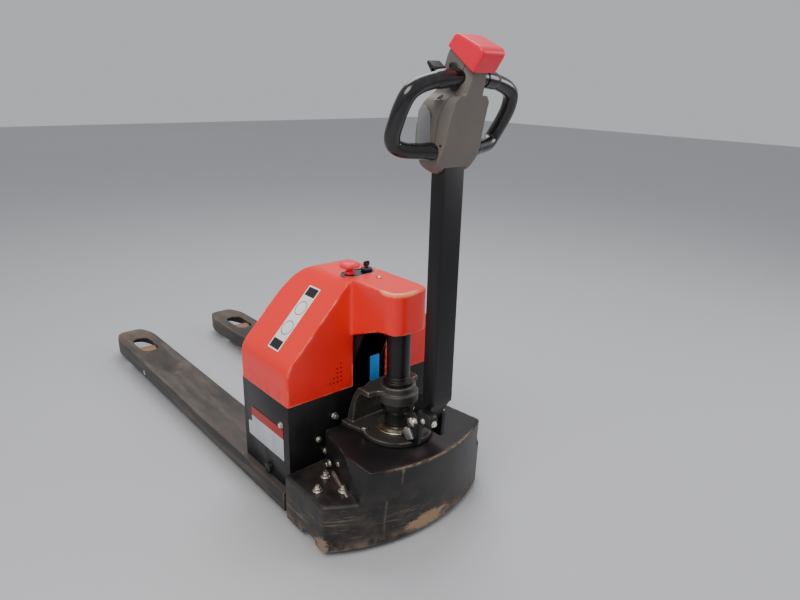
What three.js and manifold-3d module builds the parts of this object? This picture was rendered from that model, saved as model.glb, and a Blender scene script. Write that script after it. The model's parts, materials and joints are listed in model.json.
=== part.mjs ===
// Walkie electric pallet truck, millimetres, +Z up, forks along +Y.
// The fork face of the battery box is the y = 0 plane while the parts are built;
// the finished truck is moved so that its footprint is centred on the origin.

import * as THREE from 'three';
import { mergeVertices } from 'three/addons/utils/BufferGeometryUtils.js';
import Module from 'manifold-3d';

const wasm = await Module();
wasm.setup();

const DEG = Math.PI / 180;
const GAP = 0.3; // between parts that touch

// Forks: folded channels, open underneath
const FORK_LENGTH = 1150;
const FORK_HEEL = -236;
const FORK_WIDTH = 146;
const FORK_SPREAD = 560;
const FORK_TOP = 88;
const FORK_BOTTOM = 30;
const FORK_PLATE = 6;
const FORK_CENTRE = (FORK_SPREAD - FORK_WIDTH) / 2;

// Battery box and hood
const BOX_HALF = 260;
const BOX_FRONT = -240;
const BOX_TOP = 335;
const BOX_FLOOR = 152;
const SHEET = 4;
const RECESS_HALF = 57;
const RECESS_BACK = -172;
const HOOD_SHOULDER = 432;
const HOOD_TOP = 640;
const HOOD_RIDGE_HALF = 62;
const NOSE_HALF = 60;
const NOSE_CORNER = 38;
const NOSE_FRONT = -415;
const NOSE_BEND = -355;
const NOSE_BOTTOM = 530;
const NOSE_CHEEK = 484;

// Lift: telescoping column over the drive wheel
const STEER_Y = -363;
const BARREL_RADIUS = 31;
const BARREL_TOP = 556;
const ROD_RADIUS = 20;
const COLLAR_TOP = 378;
const COLUMN_SADDLE = 366;
const COLUMN_PLATE_TOP = 600;

// Drive base cover
const COVER_HALF = 280;
const COVER_BACK = -250;
const COVER_CORNER = -420;
const COVER_APEX = -505;
const COVER_BOTTOM = 20;
const SHELF_TOP = 150;
const COVER_TOP = 238;
const COVER_SHEET = 5;
const RAISED_BACK_LEFT = 150;
const RAISED_BACK_RIGHT = 186;
const RAISED_FRONT_LEFT = 216;
const RAISED_FRONT_RIGHT = 222;
const RAISED_TOP_LEFT = 184;
const RAISED_TOP_RIGHT = 216;
const COVER_LEAN = 0.235;
const BEVEL_X = 238;
const BEVEL_Y = -398;

// Wheels
const DRIVE_RADIUS = 105;
const DRIVE_WIDTH = 70;
const CASTER_X = 205;
const CASTER_Y = -375;
const CASTER_RADIUS = 37.5;
const CASTER_TRAIL = 25;
const LOAD_RADIUS = 40;
const LOAD_WIDTH = 68;
const ROCKER_Y = 790;
const ROCKER_Z = 48;
const ROCKER_ARM = 160;
const ROCKER_LEVER = 27;

// Crank that drives the load wheels from the lift
const CRANK_Y = -130;
const CRANK_Z = 106;
const CRANK_ARM_X = 126;
const CRANK_PIN_Y = -292;
const CRANK_PIN_Z = 132;
const CRANK_LEVER = 32.7;
const CRANK_FORK_REACH = 30;
const CRANK_FORK_SLOT = 22;
const CRANK_SLOT_DEPTH = 43;
const CRANK_LEVER_TILT = 18.27 * DEG;
const ROCKER_LEVER_TILT = 22.3 * DEG;

// Tiller
const PIVOT_Y = -472;
const PIVOT_Z = 326;
const EAR_TOP = 349;
const ARM_HALF = 32;
const ARM_FRONT = -530;
const ARM_BACK = -490;
const ARM_TOP = 975;
const HEAD_TILT = 35 * DEG;
const SEAM_Y = -568;
const SEAM_Z = 1163;
const CAP_HALF = 34;
const CAP_TRAVEL = 6;
const HANDLE_RADIUS = 16.5;

// Materials
function material(color, roughness, metalness) {
  return new THREE.MeshStandardMaterial({ color, roughness, metalness });
}

const blackPaint = material(0x1b1a1a, 0.5, 0.2);
const wornBlack = material(0x2a2624, 0.62, 0.25);
const redShell = material(0xd8281e, 0.38, 0.0);
const redCap = material(0xe8354a, 0.35, 0.0);
const taupe = material(0x77716a, 0.6, 0.0);
const blackGloss = material(0x17161a, 0.28, 0.0);
const castIron = material(0x3c3835, 0.6, 0.4);
const zinc = material(0xb9b6ac, 0.35, 0.9);
const chrome = material(0xd0d0d0, 0.15, 1.0);
const rubber = material(0x242424, 0.85, 0.0);
const polyurethane = material(0x8a5a34, 0.6, 0.0);
const brass = material(0xb08d4f, 0.35, 0.85);
const labelGrey = material(0xb9bcc2, 0.5, 0.0);
const whitePlate = material(0xe9e7e1, 0.5, 0.0);
const bluePlate = material(0x2f86d6, 0.5, 0.0);
const darkPlastic = material(0x202124, 0.55, 0.0);
const silver = material(0xa5a5a3, 0.4, 0.7);

// Solid-modelling helpers
function solid(geometry) {
  const bare = geometry.clone();
  bare.deleteAttribute('normal');
  bare.deleteAttribute('uv');
  const merged = mergeVertices(bare, 1e-4);
  const index = merged.index.array;
  const triangles = [];
  for (let i = 0; i < index.length; i += 3) {
    const [a, b, c] = [index[i], index[i + 1], index[i + 2]];
    if (a !== b && b !== c && c !== a) triangles.push(a, b, c);
  }
  const vertProperties = new Float32Array(merged.attributes.position.array);
  const triVerts = new Uint32Array(triangles);
  return new wasm.Manifold(new wasm.Mesh({ numProp: 3, vertProperties, triVerts }));
}

function union(...solids) {
  return solids.reduce((whole, next) => whole.add(next));
}

function cut(body, ...tools) {
  return tools.reduce((rest, tool) => rest.subtract(tool), body);
}

function block(x0, x1, y0, y1, z0, z1) {
  const box = new THREE.BoxGeometry(Math.abs(x1 - x0), Math.abs(y1 - y0), Math.abs(z1 - z0));
  box.translate((x0 + x1) / 2, (y0 + y1) / 2, (z0 + z1) / 2);
  return solid(box);
}

// Round bar along an axis; at is the centre in the other two axes
function bar(axis, radius, from, to, at, segments = 28, endRadius = radius) {
  const height = Math.abs(to - from);
  const low = Math.min(from, to);
  const shape = new THREE.CylinderGeometry(endRadius, radius, height, segments);
  shape.translate(0, height / 2, 0);
  if (axis === 'x') {
    shape.rotateZ(-Math.PI / 2);
    shape.translate(low, at[0], at[1]);
  } else if (axis === 'y') {
    shape.translate(at[0], low, at[1]);
  } else {
    shape.rotateX(Math.PI / 2);
    shape.translate(at[0], at[1], low);
  }
  return solid(shape);
}

function ring(axis, outer, inner, from, to, at, segments = 28) {
  const hole = bar(axis, inner, from - 1, to + 1, at, segments);
  return bar(axis, outer, from, to, at, segments).subtract(hole);
}

// Outline with softened corners; a point may carry its own corner setback
function outline(points, setback = 0) {
  const shape = new THREE.Shape();
  const corners = points.map((p) => new THREE.Vector2(p[0], p[1]));
  const count = corners.length;
  for (let i = 0; i < count; i += 1) {
    const here = corners[i];
    const before = corners[(i + count - 1) % count];
    const after = corners[(i + 1) % count];
    const room = 0.48 * Math.min(here.distanceTo(before), here.distanceTo(after));
    const reach = Math.min(points[i][2] ?? setback, room);
    const toward = (other) => here.clone().add(other.clone().sub(here).setLength(reach));
    const start = toward(before);
    const end = toward(after);
    if (i === 0) {
      shape.moveTo(start.x, start.y);
    } else {
      shape.lineTo(start.x, start.y);
    }
    if (reach > 0) shape.quadraticCurveTo(here.x, here.y, end.x, end.y);
  }
  shape.closePath();
  return shape;
}

// Prism along an axis: the outline lies in (y, z) for x, (x, z) for y and (x, y) for z
function prism(shape, axis, from, to, curveSegments = 5) {
  const depth = Math.abs(to - from);
  const low = Math.min(from, to);
  const body = new THREE.ExtrudeGeometry(shape, { depth, bevelEnabled: false, curveSegments });
  const basis = new THREE.Matrix4();
  const X = new THREE.Vector3(1, 0, 0);
  const Y = new THREE.Vector3(0, 1, 0);
  const Z = new THREE.Vector3(0, 0, 1);
  if (axis === 'x') {
    body.applyMatrix4(basis.makeBasis(Y, Z, X));
    body.translate(low, 0, 0);
  } else if (axis === 'y') {
    body.applyMatrix4(basis.makeBasis(X, Z, Y.clone().negate()));
    body.translate(0, low + depth, 0);
  } else {
    body.translate(0, 0, low);
  }
  return solid(body);
}

const truck = new THREE.Group();
truck.name = 'electric_pallet_truck';

function add(name, body, look) {
  const { vertProperties, triVerts, numProp } = body.getMesh();
  const geometry = new THREE.BufferGeometry();
  const positions = new Float32Array(triVerts.length * 3);
  for (let i = 0; i < triVerts.length; i += 1) {
    const at = triVerts[i] * numProp;
    positions.set(vertProperties.subarray(at, at + 3), i * 3);
  }
  geometry.setAttribute('position', new THREE.BufferAttribute(positions, 3));
  geometry.computeVertexNormals();
  const mesh = new THREE.Mesh(geometry, look);
  mesh.name = name;
  truck.add(mesh);
}

const SIDES = [['left', -1], ['right', 1]];

// Forks
function forkPlan(side, inset, heel) {
  const outer = FORK_SPREAD / 2 - inset;
  const inner = FORK_SPREAD / 2 - FORK_WIDTH + inset;
  const tip = FORK_LENGTH - inset;
  const shoulder = 70;
  return outline([
    [side * inner, heel],
    [side * outer, heel],
    [side * outer, tip - shoulder, 40],
    [side * (outer - 28), tip, 26],
    [side * (inner + 28), tip, 26],
    [side * inner, tip - shoulder, 40],
  ]);
}

function ovalHole(x, y, halfWidth, halfLength, z0, z1) {
  const long = halfLength - halfWidth;
  return union(
    bar('z', halfWidth, z0, z1, [x, y - long]),
    bar('z', halfWidth, z0, z1, [x, y + long]),
    block(x - halfWidth, x + halfWidth, y - long, y + long, z0, z1),
  );
}

for (const [label, side] of SIDES) {
  const centre = side * FORK_CENTRE;
  const body = prism(forkPlan(side, 0, FORK_HEEL), 'z', FORK_BOTTOM, FORK_TOP, 4);
  const under = FORK_TOP - FORK_PLATE;
  const hollow = prism(forkPlan(side, FORK_PLATE, FORK_HEEL - 1), 'z', FORK_BOTTOM - 1, under, 4);
  const wheelWindow = ovalHole(centre, 965, 33, 78, FORK_TOP - 20, FORK_TOP + 1);
  const leverSlot = block(centre - 16, centre + 16, CRANK_Y - 45, CRANK_Y + 45, FORK_TOP - 20, FORK_TOP + 1);
  const axleHole = bar('x', 10.1, centre - 80, centre + 80, [ROCKER_Y, ROCKER_Z]);
  const wallY = FORK_HEEL + 20;
  const heelWall = block(centre - 60, centre + 60, wallY, wallY + 6, FORK_BOTTOM + 8, FORK_TOP - 3);
  const heelStep = block(centre - 80, centre + 80, FORK_HEEL - 1, 1, FORK_TOP - 0.6, FORK_TOP + 1);
  const channel = cut(body, hollow, wheelWindow, leverSlot, axleHole, heelStep);
  add(`fork_${label}`, channel.add(heelWall), wornBlack);
  add(`rocker_axle_${label}`, bar('x', 10, centre - 72.6, centre + 72.6, [ROCKER_Y, ROCKER_Z]), zinc);
}

// Battery box: folded sheet with a bay at the front for the lift column
{
  const outer = block(-BOX_HALF, BOX_HALF, BOX_FRONT, 0, FORK_TOP + GAP, BOX_TOP);
  const bay = block(-RECESS_HALF, RECESS_HALF, BOX_FRONT - 1, RECESS_BACK, FORK_TOP, BOX_TOP + 1);
  const inner = block(-BOX_HALF + SHEET, BOX_HALF - SHEET, BOX_FRONT + SHEET, -SHEET, BOX_FLOOR, BOX_TOP + 1);
  const bayWall = RECESS_HALF + SHEET;
  const bayLining = block(-bayWall, bayWall, BOX_FRONT, RECESS_BACK + SHEET, FORK_TOP, BOX_TOP + 2);
  const under = block(
    -BOX_HALF + SHEET, BOX_HALF - SHEET, BOX_FRONT + SHEET, -SHEET, FORK_TOP, BOX_FLOOR - SHEET,
  );
  const armOpening = block(-150, 150, BOX_FRONT - 1, BOX_FRONT + SHEET + 1, FORK_TOP, BOX_FLOOR - SHEET);
  const shaftHole = bar('x', 14.6, -BOX_HALF - 1, BOX_HALF + 1, [CRANK_Y, CRANK_Z]);
  const cavity = inner.subtract(bayLining);
  add('battery_box', cut(outer, bay, cavity, under, armOpening, shaftHole), blackPaint);
}

// Hood: sloped sides, rounded fork-side edge and a nose over the lift column
function hoodBody(inset) {
  const half = BOX_HALF + 1 - inset;
  const top = HOOD_TOP - inset;
  const ridge = HOOD_RIDGE_HALF - inset * 0.4;
  const shoulder = HOOD_SHOULDER - inset * 0.4;
  const bottom = inset > 0 ? BOX_TOP - 5 : BOX_TOP + GAP;
  const front = BOX_FRONT - 2 + inset;
  const back = -inset;
  const section = outline([
    [-half, bottom], [half, bottom], [half, shoulder, 20], [ridge, top, 22],
    [-ridge, top, 22], [-half, shoulder, 20],
  ]);
  const side = outline([
    [front, bottom], [back, bottom], [back, top, 105], [front, top, 8],
  ]);
  return prism(section, 'y', front, back).intersect(prism(side, 'x', -half - 1, half + 1, 8));
}

function noseBody(inset) {
  const half = NOSE_HALF - inset;
  const top = HOOD_TOP - inset;
  const root = BOX_FRONT + 20;
  const front = NOSE_FRONT + inset;
  const corner = NOSE_CORNER - inset;
  const plan = new THREE.Shape();
  plan.moveTo(half, root);
  plan.lineTo(-half, root);
  plan.lineTo(-half, front + corner);
  plan.absarc(-half + corner, front + corner, corner, Math.PI, 1.5 * Math.PI, false);
  plan.absarc(half - corner, front + corner, corner, 1.5 * Math.PI, 2 * Math.PI, false);
  plan.closePath();
  const drop = inset > 0 ? 10 : 0;
  const side = outline([
    [root, NOSE_CHEEK - drop - 12],
    [root, top],
    [front - 1, top],
    [front - 1, NOSE_BOTTOM - drop],
    [NOSE_BEND, NOSE_BOTTOM - drop, 20],
    [BOX_FRONT, NOSE_CHEEK - drop, 4],
  ]);
  return prism(plan, 'z', NOSE_CHEEK - 30, top, 12).intersect(prism(side, 'x', -80, 80));
}

const PANEL_X = -10;
const PANEL_Y = -200;
const PANEL_HALF_LENGTH = 50;
const PANEL_HALF_WIDTH = 27;
const PANEL_DEPTH = 3;

function panelOval(grow, z0, z1) {
  const radius = PANEL_HALF_WIDTH + grow;
  const reach = PANEL_HALF_LENGTH - PANEL_HALF_WIDTH;
  return union(
    bar('z', radius, z0, z1, [PANEL_X - reach, PANEL_Y]),
    bar('z', radius, z0, z1, [PANEL_X + reach, PANEL_Y]),
    block(PANEL_X - reach, PANEL_X + reach, PANEL_Y - radius, PANEL_Y + radius, z0, z1),
  );
}

const ESTOP_X = -36;
const KEY_X = 20;
const SCREW_X = 8;
const SCREW_Y = -271;
{
  const shell = hoodBody(0).add(noseBody(0));
  const hollow = hoodBody(SHEET).add(noseBody(SHEET));
  const opening = block(-RECESS_HALF, RECESS_HALF, BOX_FRONT - 10, BOX_FRONT + 12, BOX_TOP - 6, NOSE_CHEEK);
  const recess = panelOval(0.5, HOOD_TOP - PANEL_DEPTH, HOOD_TOP + 1);
  const panelLedge = panelOval(-4, HOOD_TOP - 20, HOOD_TOP);
  const screwHole = bar('z', 4, HOOD_TOP - 20, HOOD_TOP + 1, [SCREW_X, SCREW_Y], 12);
  add('hood', cut(shell, hollow, opening, recess, panelLedge, screwHole), redShell);
  const bottom = HOOD_TOP - PANEL_DEPTH + GAP;
  const controls = cut(
    panelOval(0, bottom, HOOD_TOP - 0.5),
    bar('z', 9, HOOD_TOP - 20, HOOD_TOP + 1, [ESTOP_X, PANEL_Y], 20),
    bar('z', 11, HOOD_TOP - 20, HOOD_TOP + 1, [KEY_X, PANEL_Y], 20),
  );
  add('control_panel', controls, whitePlate);
  add('hood_screw', union(
    bar('z', 8, HOOD_TOP + GAP, HOOD_TOP + 4.5, [SCREW_X, SCREW_Y], 16, 6),
    bar('z', 3.2, HOOD_TOP - 18, HOOD_TOP + 1, [SCREW_X, SCREW_Y], 12),
  ), brass);
}

// Emergency stop and key switch
{
  const at = [ESTOP_X, PANEL_Y];
  add('estop_collar', ring('z', 17, 8, HOOD_TOP, HOOD_TOP + 8, at, 24), darkPlastic);
  add('estop_button', union(
    bar('z', 7.4, HOOD_TOP - 18, HOOD_TOP + 18, at, 20),
    bar('z', 14, HOOD_TOP + 15, HOOD_TOP + 19, at, 24, 27),
    bar('z', 27, HOOD_TOP + 19, HOOD_TOP + 27, at, 24),
    bar('z', 27, HOOD_TOP + 27, HOOD_TOP + 34, at, 24, 19),
  ), redCap);
  const keyAt = [KEY_X, PANEL_Y];
  const switchFlange = bar('z', 15, HOOD_TOP, HOOD_TOP + 9, keyAt, 20);
  const switchBarrel = bar('z', 10.4, HOOD_TOP - 14, HOOD_TOP + 1, keyAt, 20);
  const keyHole = bar('z', 4, HOOD_TOP - 4, HOOD_TOP + 10, keyAt, 16);
  add('key_switch', cut(switchFlange.add(switchBarrel), keyHole), darkPlastic);
  add('key', union(
    bar('z', 3.5, HOOD_TOP - 2, HOOD_TOP + 12, keyAt, 16),
    block(KEY_X - 10, KEY_X + 10, PANEL_Y - 2, PANEL_Y + 2, HOOD_TOP + 11, HOOD_TOP + 27),
  ), blackGloss);
}

// Battery, controller and hydraulic pump inside the box
{
  const clear = BOX_FLOOR + GAP;
  const bayBack = RECESS_BACK + SHEET + 2;
  add('battery', block(-250, 90, bayBack, -8, clear, clear + 168), darkPlastic);
  const pump = union(
    bar('z', 42, clear, clear + 120, [190, -70], 24),
    block(140, 240, -125, -10, clear, clear + 60),
  );
  add('pump_unit', pump, blackPaint);
  const shelf = clear + 168 + GAP;
  add('controller', block(-120, 60, -140, -20, shelf, shelf + 42), silver);
}

// Plain plates on the box side and on the hood slope
{
  const plate = prism(outline([
    [-213, 166, 3], [-24, 166, 3], [-24, 208], [-44, 208], [-44, 260, 3], [-213, 260, 3],
  ]), 'x', -BOX_HALF - GAP - 0.8, -BOX_HALF - GAP);
  add('side_plate', plate, labelGrey);
  const slope = Math.atan2(HOOD_TOP - HOOD_SHOULDER, BOX_HALF + 1 - HOOD_RIDGE_HALF);
  const strip = new THREE.BoxGeometry(196, 52, 0.8);
  strip.rotateY(-slope);
  const lift = GAP + 0.4;
  const along = 0.46;
  const x = -BOX_HALF - 1 + along * (BOX_HALF + 1 - HOOD_RIDGE_HALF) - lift * Math.sin(slope);
  const z = HOOD_SHOULDER + along * (HOOD_TOP - HOOD_SHOULDER) + lift * Math.cos(slope);
  strip.translate(x, -137, z);
  add('slope_plate', solid(strip), whitePlate);
}

// Bolts on the box
for (const [label, side] of SIDES) {
  const head = bar('x', 9, side * (BOX_HALF + GAP), side * (BOX_HALF + 7), [-205, 272], 6);
  add(`side_bolt_${label}`, head, zinc);
}
add('front_bolt_upper', bar('y', 8, BOX_FRONT - 12, BOX_FRONT - GAP, [-118, 265], 6), zinc);
add('front_bolt_lower', bar('y', 7, BOX_FRONT - 8, BOX_FRONT - GAP, [-170, 212], 6), zinc);

// Column bracket: fixed to the box, carries the top of the lift rod under the nose
{
  const half = RECESS_HALF - 1;
  const front = NOSE_BEND - 26;
  const back = RECESS_BACK - GAP;
  const backPlate = block(-half, half, back - 6, back, BOX_FLOOR + 10, COLUMN_PLATE_TOP);
  const topPlate = block(-half + 10, half - 10, front, back - 3, COLUMN_PLATE_TOP - 12, COLUMN_PLATE_TOP);
  const webShape = outline([
    [back - 3, BOX_FLOOR + 40], [back - 3, COLUMN_PLATE_TOP], [front + 12, COLUMN_PLATE_TOP],
    [front + 12, COLUMN_PLATE_TOP - 22], [BOX_FRONT - 55, COLUMN_PLATE_TOP - 60, 30],
    [BOX_FRONT + 6, 400, 20], [BOX_FRONT + 6, BOX_FLOOR + 40],
  ]);
  const webs = [-1, 1].map((side) => prism(webShape, 'x', side * (half - 11), side * (half - 5)));
  add('column_bracket', union(backPlate, topPlate, ...webs), blackPaint);
  add('bracket_bolt', bar('x', 8, -half + 12, -half + 22, [BOX_FRONT + 30, 400], 6), zinc);
  add('blue_tag', block(2, 34, BOX_FRONT - 2.5, BOX_FRONT - 1, 334, 408), bluePlate);
}

// Lift rod and its barrel
add('lift_rod', bar('z', ROD_RADIUS, 352, COLUMN_PLATE_TOP - 12 - GAP, [0, STEER_Y], 28), chrome);
{
  const barrel = bar('z', BARREL_RADIUS, 342, BARREL_TOP, [0, STEER_Y]);
  const bore = bar('z', ROD_RADIUS + 0.6, 350, BARREL_TOP + 1, [0, STEER_Y]);
  add('lift_barrel', barrel.subtract(bore), blackPaint);
  const gland = ring('z', 27, ROD_RADIUS + 0.6, BARREL_TOP + GAP, BARREL_TOP + 12, [0, STEER_Y]);
  add('barrel_gland', gland, zinc);
}

// Drive base cover: curved bumper skirt, low shelves and a raised middle
const arcSagitta = COVER_CORNER - COVER_APEX;
const arcRadius = (COVER_HALF ** 2 + arcSagitta ** 2) / (2 * arcSagitta);
const arcCentreY = COVER_APEX + arcRadius;

function coverPlan(inset, backY, half) {
  const radius = arcRadius - inset;
  const reach = half - inset;
  const frontY = arcCentreY - Math.sqrt(radius ** 2 - reach ** 2);
  const angle = Math.asin(reach / radius);
  const bend = 16;
  const plan = new THREE.Shape();
  plan.moveTo(reach, backY);
  plan.lineTo(-reach, backY);
  plan.lineTo(-reach, frontY + bend);
  const start = -Math.PI / 2 - angle + bend / radius;
  plan.quadraticCurveTo(-reach, frontY, radius * Math.cos(start), arcCentreY + radius * Math.sin(start));
  plan.absarc(0, arcCentreY, radius, start, -Math.acos((BEVEL_X - 0.9 * inset) / radius), false);
  plan.lineTo(reach, BEVEL_Y + 0.5 * inset);
  plan.closePath();
  return plan;
}

function raisedBody(inset, backY, top) {
  const plan = prism(outline([
    [-RAISED_BACK_LEFT + inset, backY], [RAISED_BACK_RIGHT - inset, backY],
    [RAISED_FRONT_RIGHT - inset, COVER_APEX - 5], [-RAISED_FRONT_LEFT + inset, COVER_APEX - 5],
  ]), 'z', COVER_BOTTOM - 5, top);
  const taper = prism(outline([
    [-212 + inset, COVER_BOTTOM - 5], [RAISED_FRONT_RIGHT - inset, COVER_BOTTOM - 5],
    [RAISED_TOP_RIGHT - inset, top], [-RAISED_TOP_LEFT + inset, top], [-206 + inset, SHELF_TOP],
  ]), 'y', COVER_APEX - 5, backY);
  const round = prism(coverPlan(inset, backY, COVER_HALF), 'z', COVER_BOTTOM - 5, top, 16);
  return plan.intersect(taper).intersect(round);
}

// The bumper's front leans out towards its top, most at the middle and not at all at the corners
function leaned(body) {
  return body.warp((point) => {
    const ahead = Math.min(0, point[1] - COVER_CORNER);
    point[1] += ahead * COVER_LEAN * (point[2] - COVER_BOTTOM) / (COVER_TOP - COVER_BOTTOM);
  });
}

function shelfBolts(side) {
  const inner = side < 0 ? 201 : 228;
  return [[side * 250, -354], [side * inner, -394], [side * inner, -316]];
}

{
  const skirt = prism(coverPlan(0, COVER_BACK, COVER_HALF), 'z', COVER_BOTTOM, SHELF_TOP, 16);
  const ground = block(-400, 400, -700, 0, -50, COVER_BOTTOM);
  const raised = raisedBody(0, COVER_BACK, COVER_TOP).subtract(ground);
  const openBack = COVER_BACK + 1;
  const skirtHollow = prism(
    coverPlan(COVER_SHEET, openBack, COVER_HALF), 'z', COVER_BOTTOM - 2, SHELF_TOP - COVER_SHEET, 16,
  );
  const raisedHollow = raisedBody(COVER_SHEET, openBack, COVER_TOP - COVER_SHEET);
  let cover = cut(skirt.add(raised), skirtHollow, raisedHollow);
  cover = cover.subtract(bar('z', 40, COVER_TOP - 20, COVER_TOP + 1, [0, STEER_Y]));
  const sill = COVER_BOTTOM + 16;
  cover = cover.subtract(block(-COVER_HALF - 5, COVER_HALF + 5, -385, -325, COVER_BOTTOM - 5, sill));
  for (const side of [-1, 1]) {
    for (const at of shelfBolts(side)) {
      cover = cover.subtract(bar('z', 7, SHELF_TOP - 20, SHELF_TOP + 5, at, 16));
    }
    const hangerTop = side < 0 ? SHELF_TOP - 1 : COVER_TOP - 1;
    cover = cover.add(block(side * 168, side * 176, -318, -262, 112, hangerTop));
    cover = cover.add(bar('x', 7, side * 117, side * 172, [CRANK_PIN_Y, CRANK_PIN_Z], 20));
  }
  add('base_cover', leaned(cover), wornBlack);
}

// Column casting on the cover: flange, two webs and the collar that holds the barrel
{
  const base = COVER_TOP + GAP;
  const flangeTop = base + 14;
  const axis = [0, STEER_Y];
  const flange = bar('z', 96, base, flangeTop, axis, 40);
  const foot = outline([
    [-102, COVER_BACK - 2], [-102, -278, 8], [-88, -330],
    [88, -330], [102, -278, 8], [102, COVER_BACK - 2],
  ]);
  const tail = prism(foot, 'z', base, flangeTop);
  const webShape = outline([
    [COVER_BACK - 2, base + 2], [COVER_BACK - 2, 350, 30],
    [-278, COLUMN_SADDLE, 16], [-347, COLUMN_SADDLE, 6],
    [-347, EAR_TOP + 4], [-312, EAR_TOP + 3, 26], [-290, 318, 30], [-279, base + 2, 20],
  ]);
  const webs = [-1, 1].map((side) => prism(webShape, 'x', side * 72, side * 86));
  const wings = [-1, 1].map((side) => outline([
    [0, STEER_Y + 40], [side * 46, STEER_Y - 6], [side * 60, -350, 8], [side * 86, -347, 6],
    [side * 86, -272], [side * 40, -276, 20], [0, -285],
  ]));
  const bridge = wings.map((wing) => prism(wing, 'z', EAR_TOP + 3, COLUMN_SADDLE));
  const backWall = block(-74, 74, COVER_BACK - 14, COVER_BACK - 2, base + 2, 350);
  const collar = union(
    bar('z', 54, 332, 358, axis),
    bar('z', 47, 357, COLLAR_TOP, axis),
  );
  const seat = bar('z', BARREL_RADIUS + 0.5, 341, COLLAR_TOP + 1, axis);
  const shaftHole = bar('z', 36, base - 1, flangeTop + 1, axis);
  const bolts = [-1, 1].map((side) => bar('z', 9, flangeTop - 2, flangeTop + 8, [side * 84, -330], 6));
  const casting = union(flange, tail, ...webs, backWall, ...bridge, collar, ...bolts);
  add('column_casting', cut(casting, seat, shaftHole), castIron);
  add('bearing_ring', ring('z', 50, 31, flangeTop + GAP, flangeTop + 12, axis, 32), chrome);
}

// Steering hub with its forward arm and the tiller ears
const HUB_BOTTOM = 265;
const HUB_TOP = 327;
const EAR_IN = 33;
const EAR_OUT = 45;
{
  const axis = [0, STEER_Y];
  const hub = bar('z', 45, HUB_BOTTOM, HUB_TOP, axis);
  const armShape = outline([
    [STEER_Y, HUB_BOTTOM], [STEER_Y, HUB_TOP - 6], [-414, HUB_TOP - 6, 10], [-430, 284, 14],
    [-490, 280, 6], [-494, HUB_BOTTOM, 6], [STEER_Y, HUB_BOTTOM],
  ]);
  const arm = prism(armShape, 'x', -EAR_OUT, EAR_OUT);
  const earShape = outline([
    [-432, HUB_BOTTOM, 6], [-442, 330, 18], [-456, 348, 12], [-486, EAR_TOP, 14], [-500, 326, 16],
    [-496, HUB_BOTTOM, 8],
  ]);
  const ears = [-1, 1].map((side) => prism(earShape, 'x', side * EAR_IN, side * EAR_OUT));
  const body = union(hub, arm, ...ears);
  const pinHole = bar('x', 9.3, -60, 60, [PIVOT_Y, PIVOT_Z], 20);
  add('steering_hub', body.subtract(pinHole), blackPaint);
  const pin = union(
    bar('x', 9, -EAR_OUT - 4, EAR_OUT + 4, [PIVOT_Y, PIVOT_Z], 20),
    bar('x', 13, -EAR_OUT - 8, -EAR_OUT - GAP, [PIVOT_Y, PIVOT_Z], 6),
    bar('x', 13, EAR_OUT + GAP, EAR_OUT + 8, [PIVOT_Y, PIVOT_Z], 6),
  );
  add('tiller_pin', pin, zinc);
  const cam = outline([[-484, 284, 4], [-462, 272, 6], [-446, 288, 5], [-452, 306, 5], [-470, 310, 5]]);
  add('brake_cam', prism(cam, 'x', -EAR_OUT - 9, -EAR_OUT - GAP), silver);
}

// Drive unit under the cover: yoke, gear motor and drive wheel
{
  const axis = [0, STEER_Y];
  const halfWheel = DRIVE_WIDTH / 2;
  const yoke = union(
    bar('z', 30, 219, HUB_BOTTOM - GAP, axis),
    block(-58, 58, STEER_Y - 45, STEER_Y + 45, 215, 225),
    block(-58, -46, STEER_Y - 38, STEER_Y + 38, 70, 220),
    block(46, 58, STEER_Y - 38, STEER_Y + 38, 150, 220),
    bar('x', 14, -58, -6, [STEER_Y, DRIVE_RADIUS]),
  );
  add('drive_yoke', yoke, blackPaint);
  const motor = union(
    bar('x', 44, 46, 100, [STEER_Y, DRIVE_RADIUS], 32),
    bar('x', 30, halfWheel + 4, 47, [STEER_Y, DRIVE_RADIUS], 24),
  );
  add('drive_motor', motor, castIron);
  add('drive_tyre', ring('x', DRIVE_RADIUS, 84, -halfWheel, halfWheel, [STEER_Y, DRIVE_RADIUS], 44), rubber);
  const hub = cut(
    bar('x', 83.7, -halfWheel + 3, halfWheel - 3, [STEER_Y, DRIVE_RADIUS], 44),
    bar('x', 14.6, -halfWheel - 1, halfWheel + 1, [STEER_Y, DRIVE_RADIUS]),
    ring('x', 74, 30, -halfWheel, -halfWheel + 14, [STEER_Y, DRIVE_RADIUS]),
    ring('x', 74, 44, halfWheel - 14, halfWheel, [STEER_Y, DRIVE_RADIUS]),
  );
  add('drive_hub', hub, silver);
}

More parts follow.
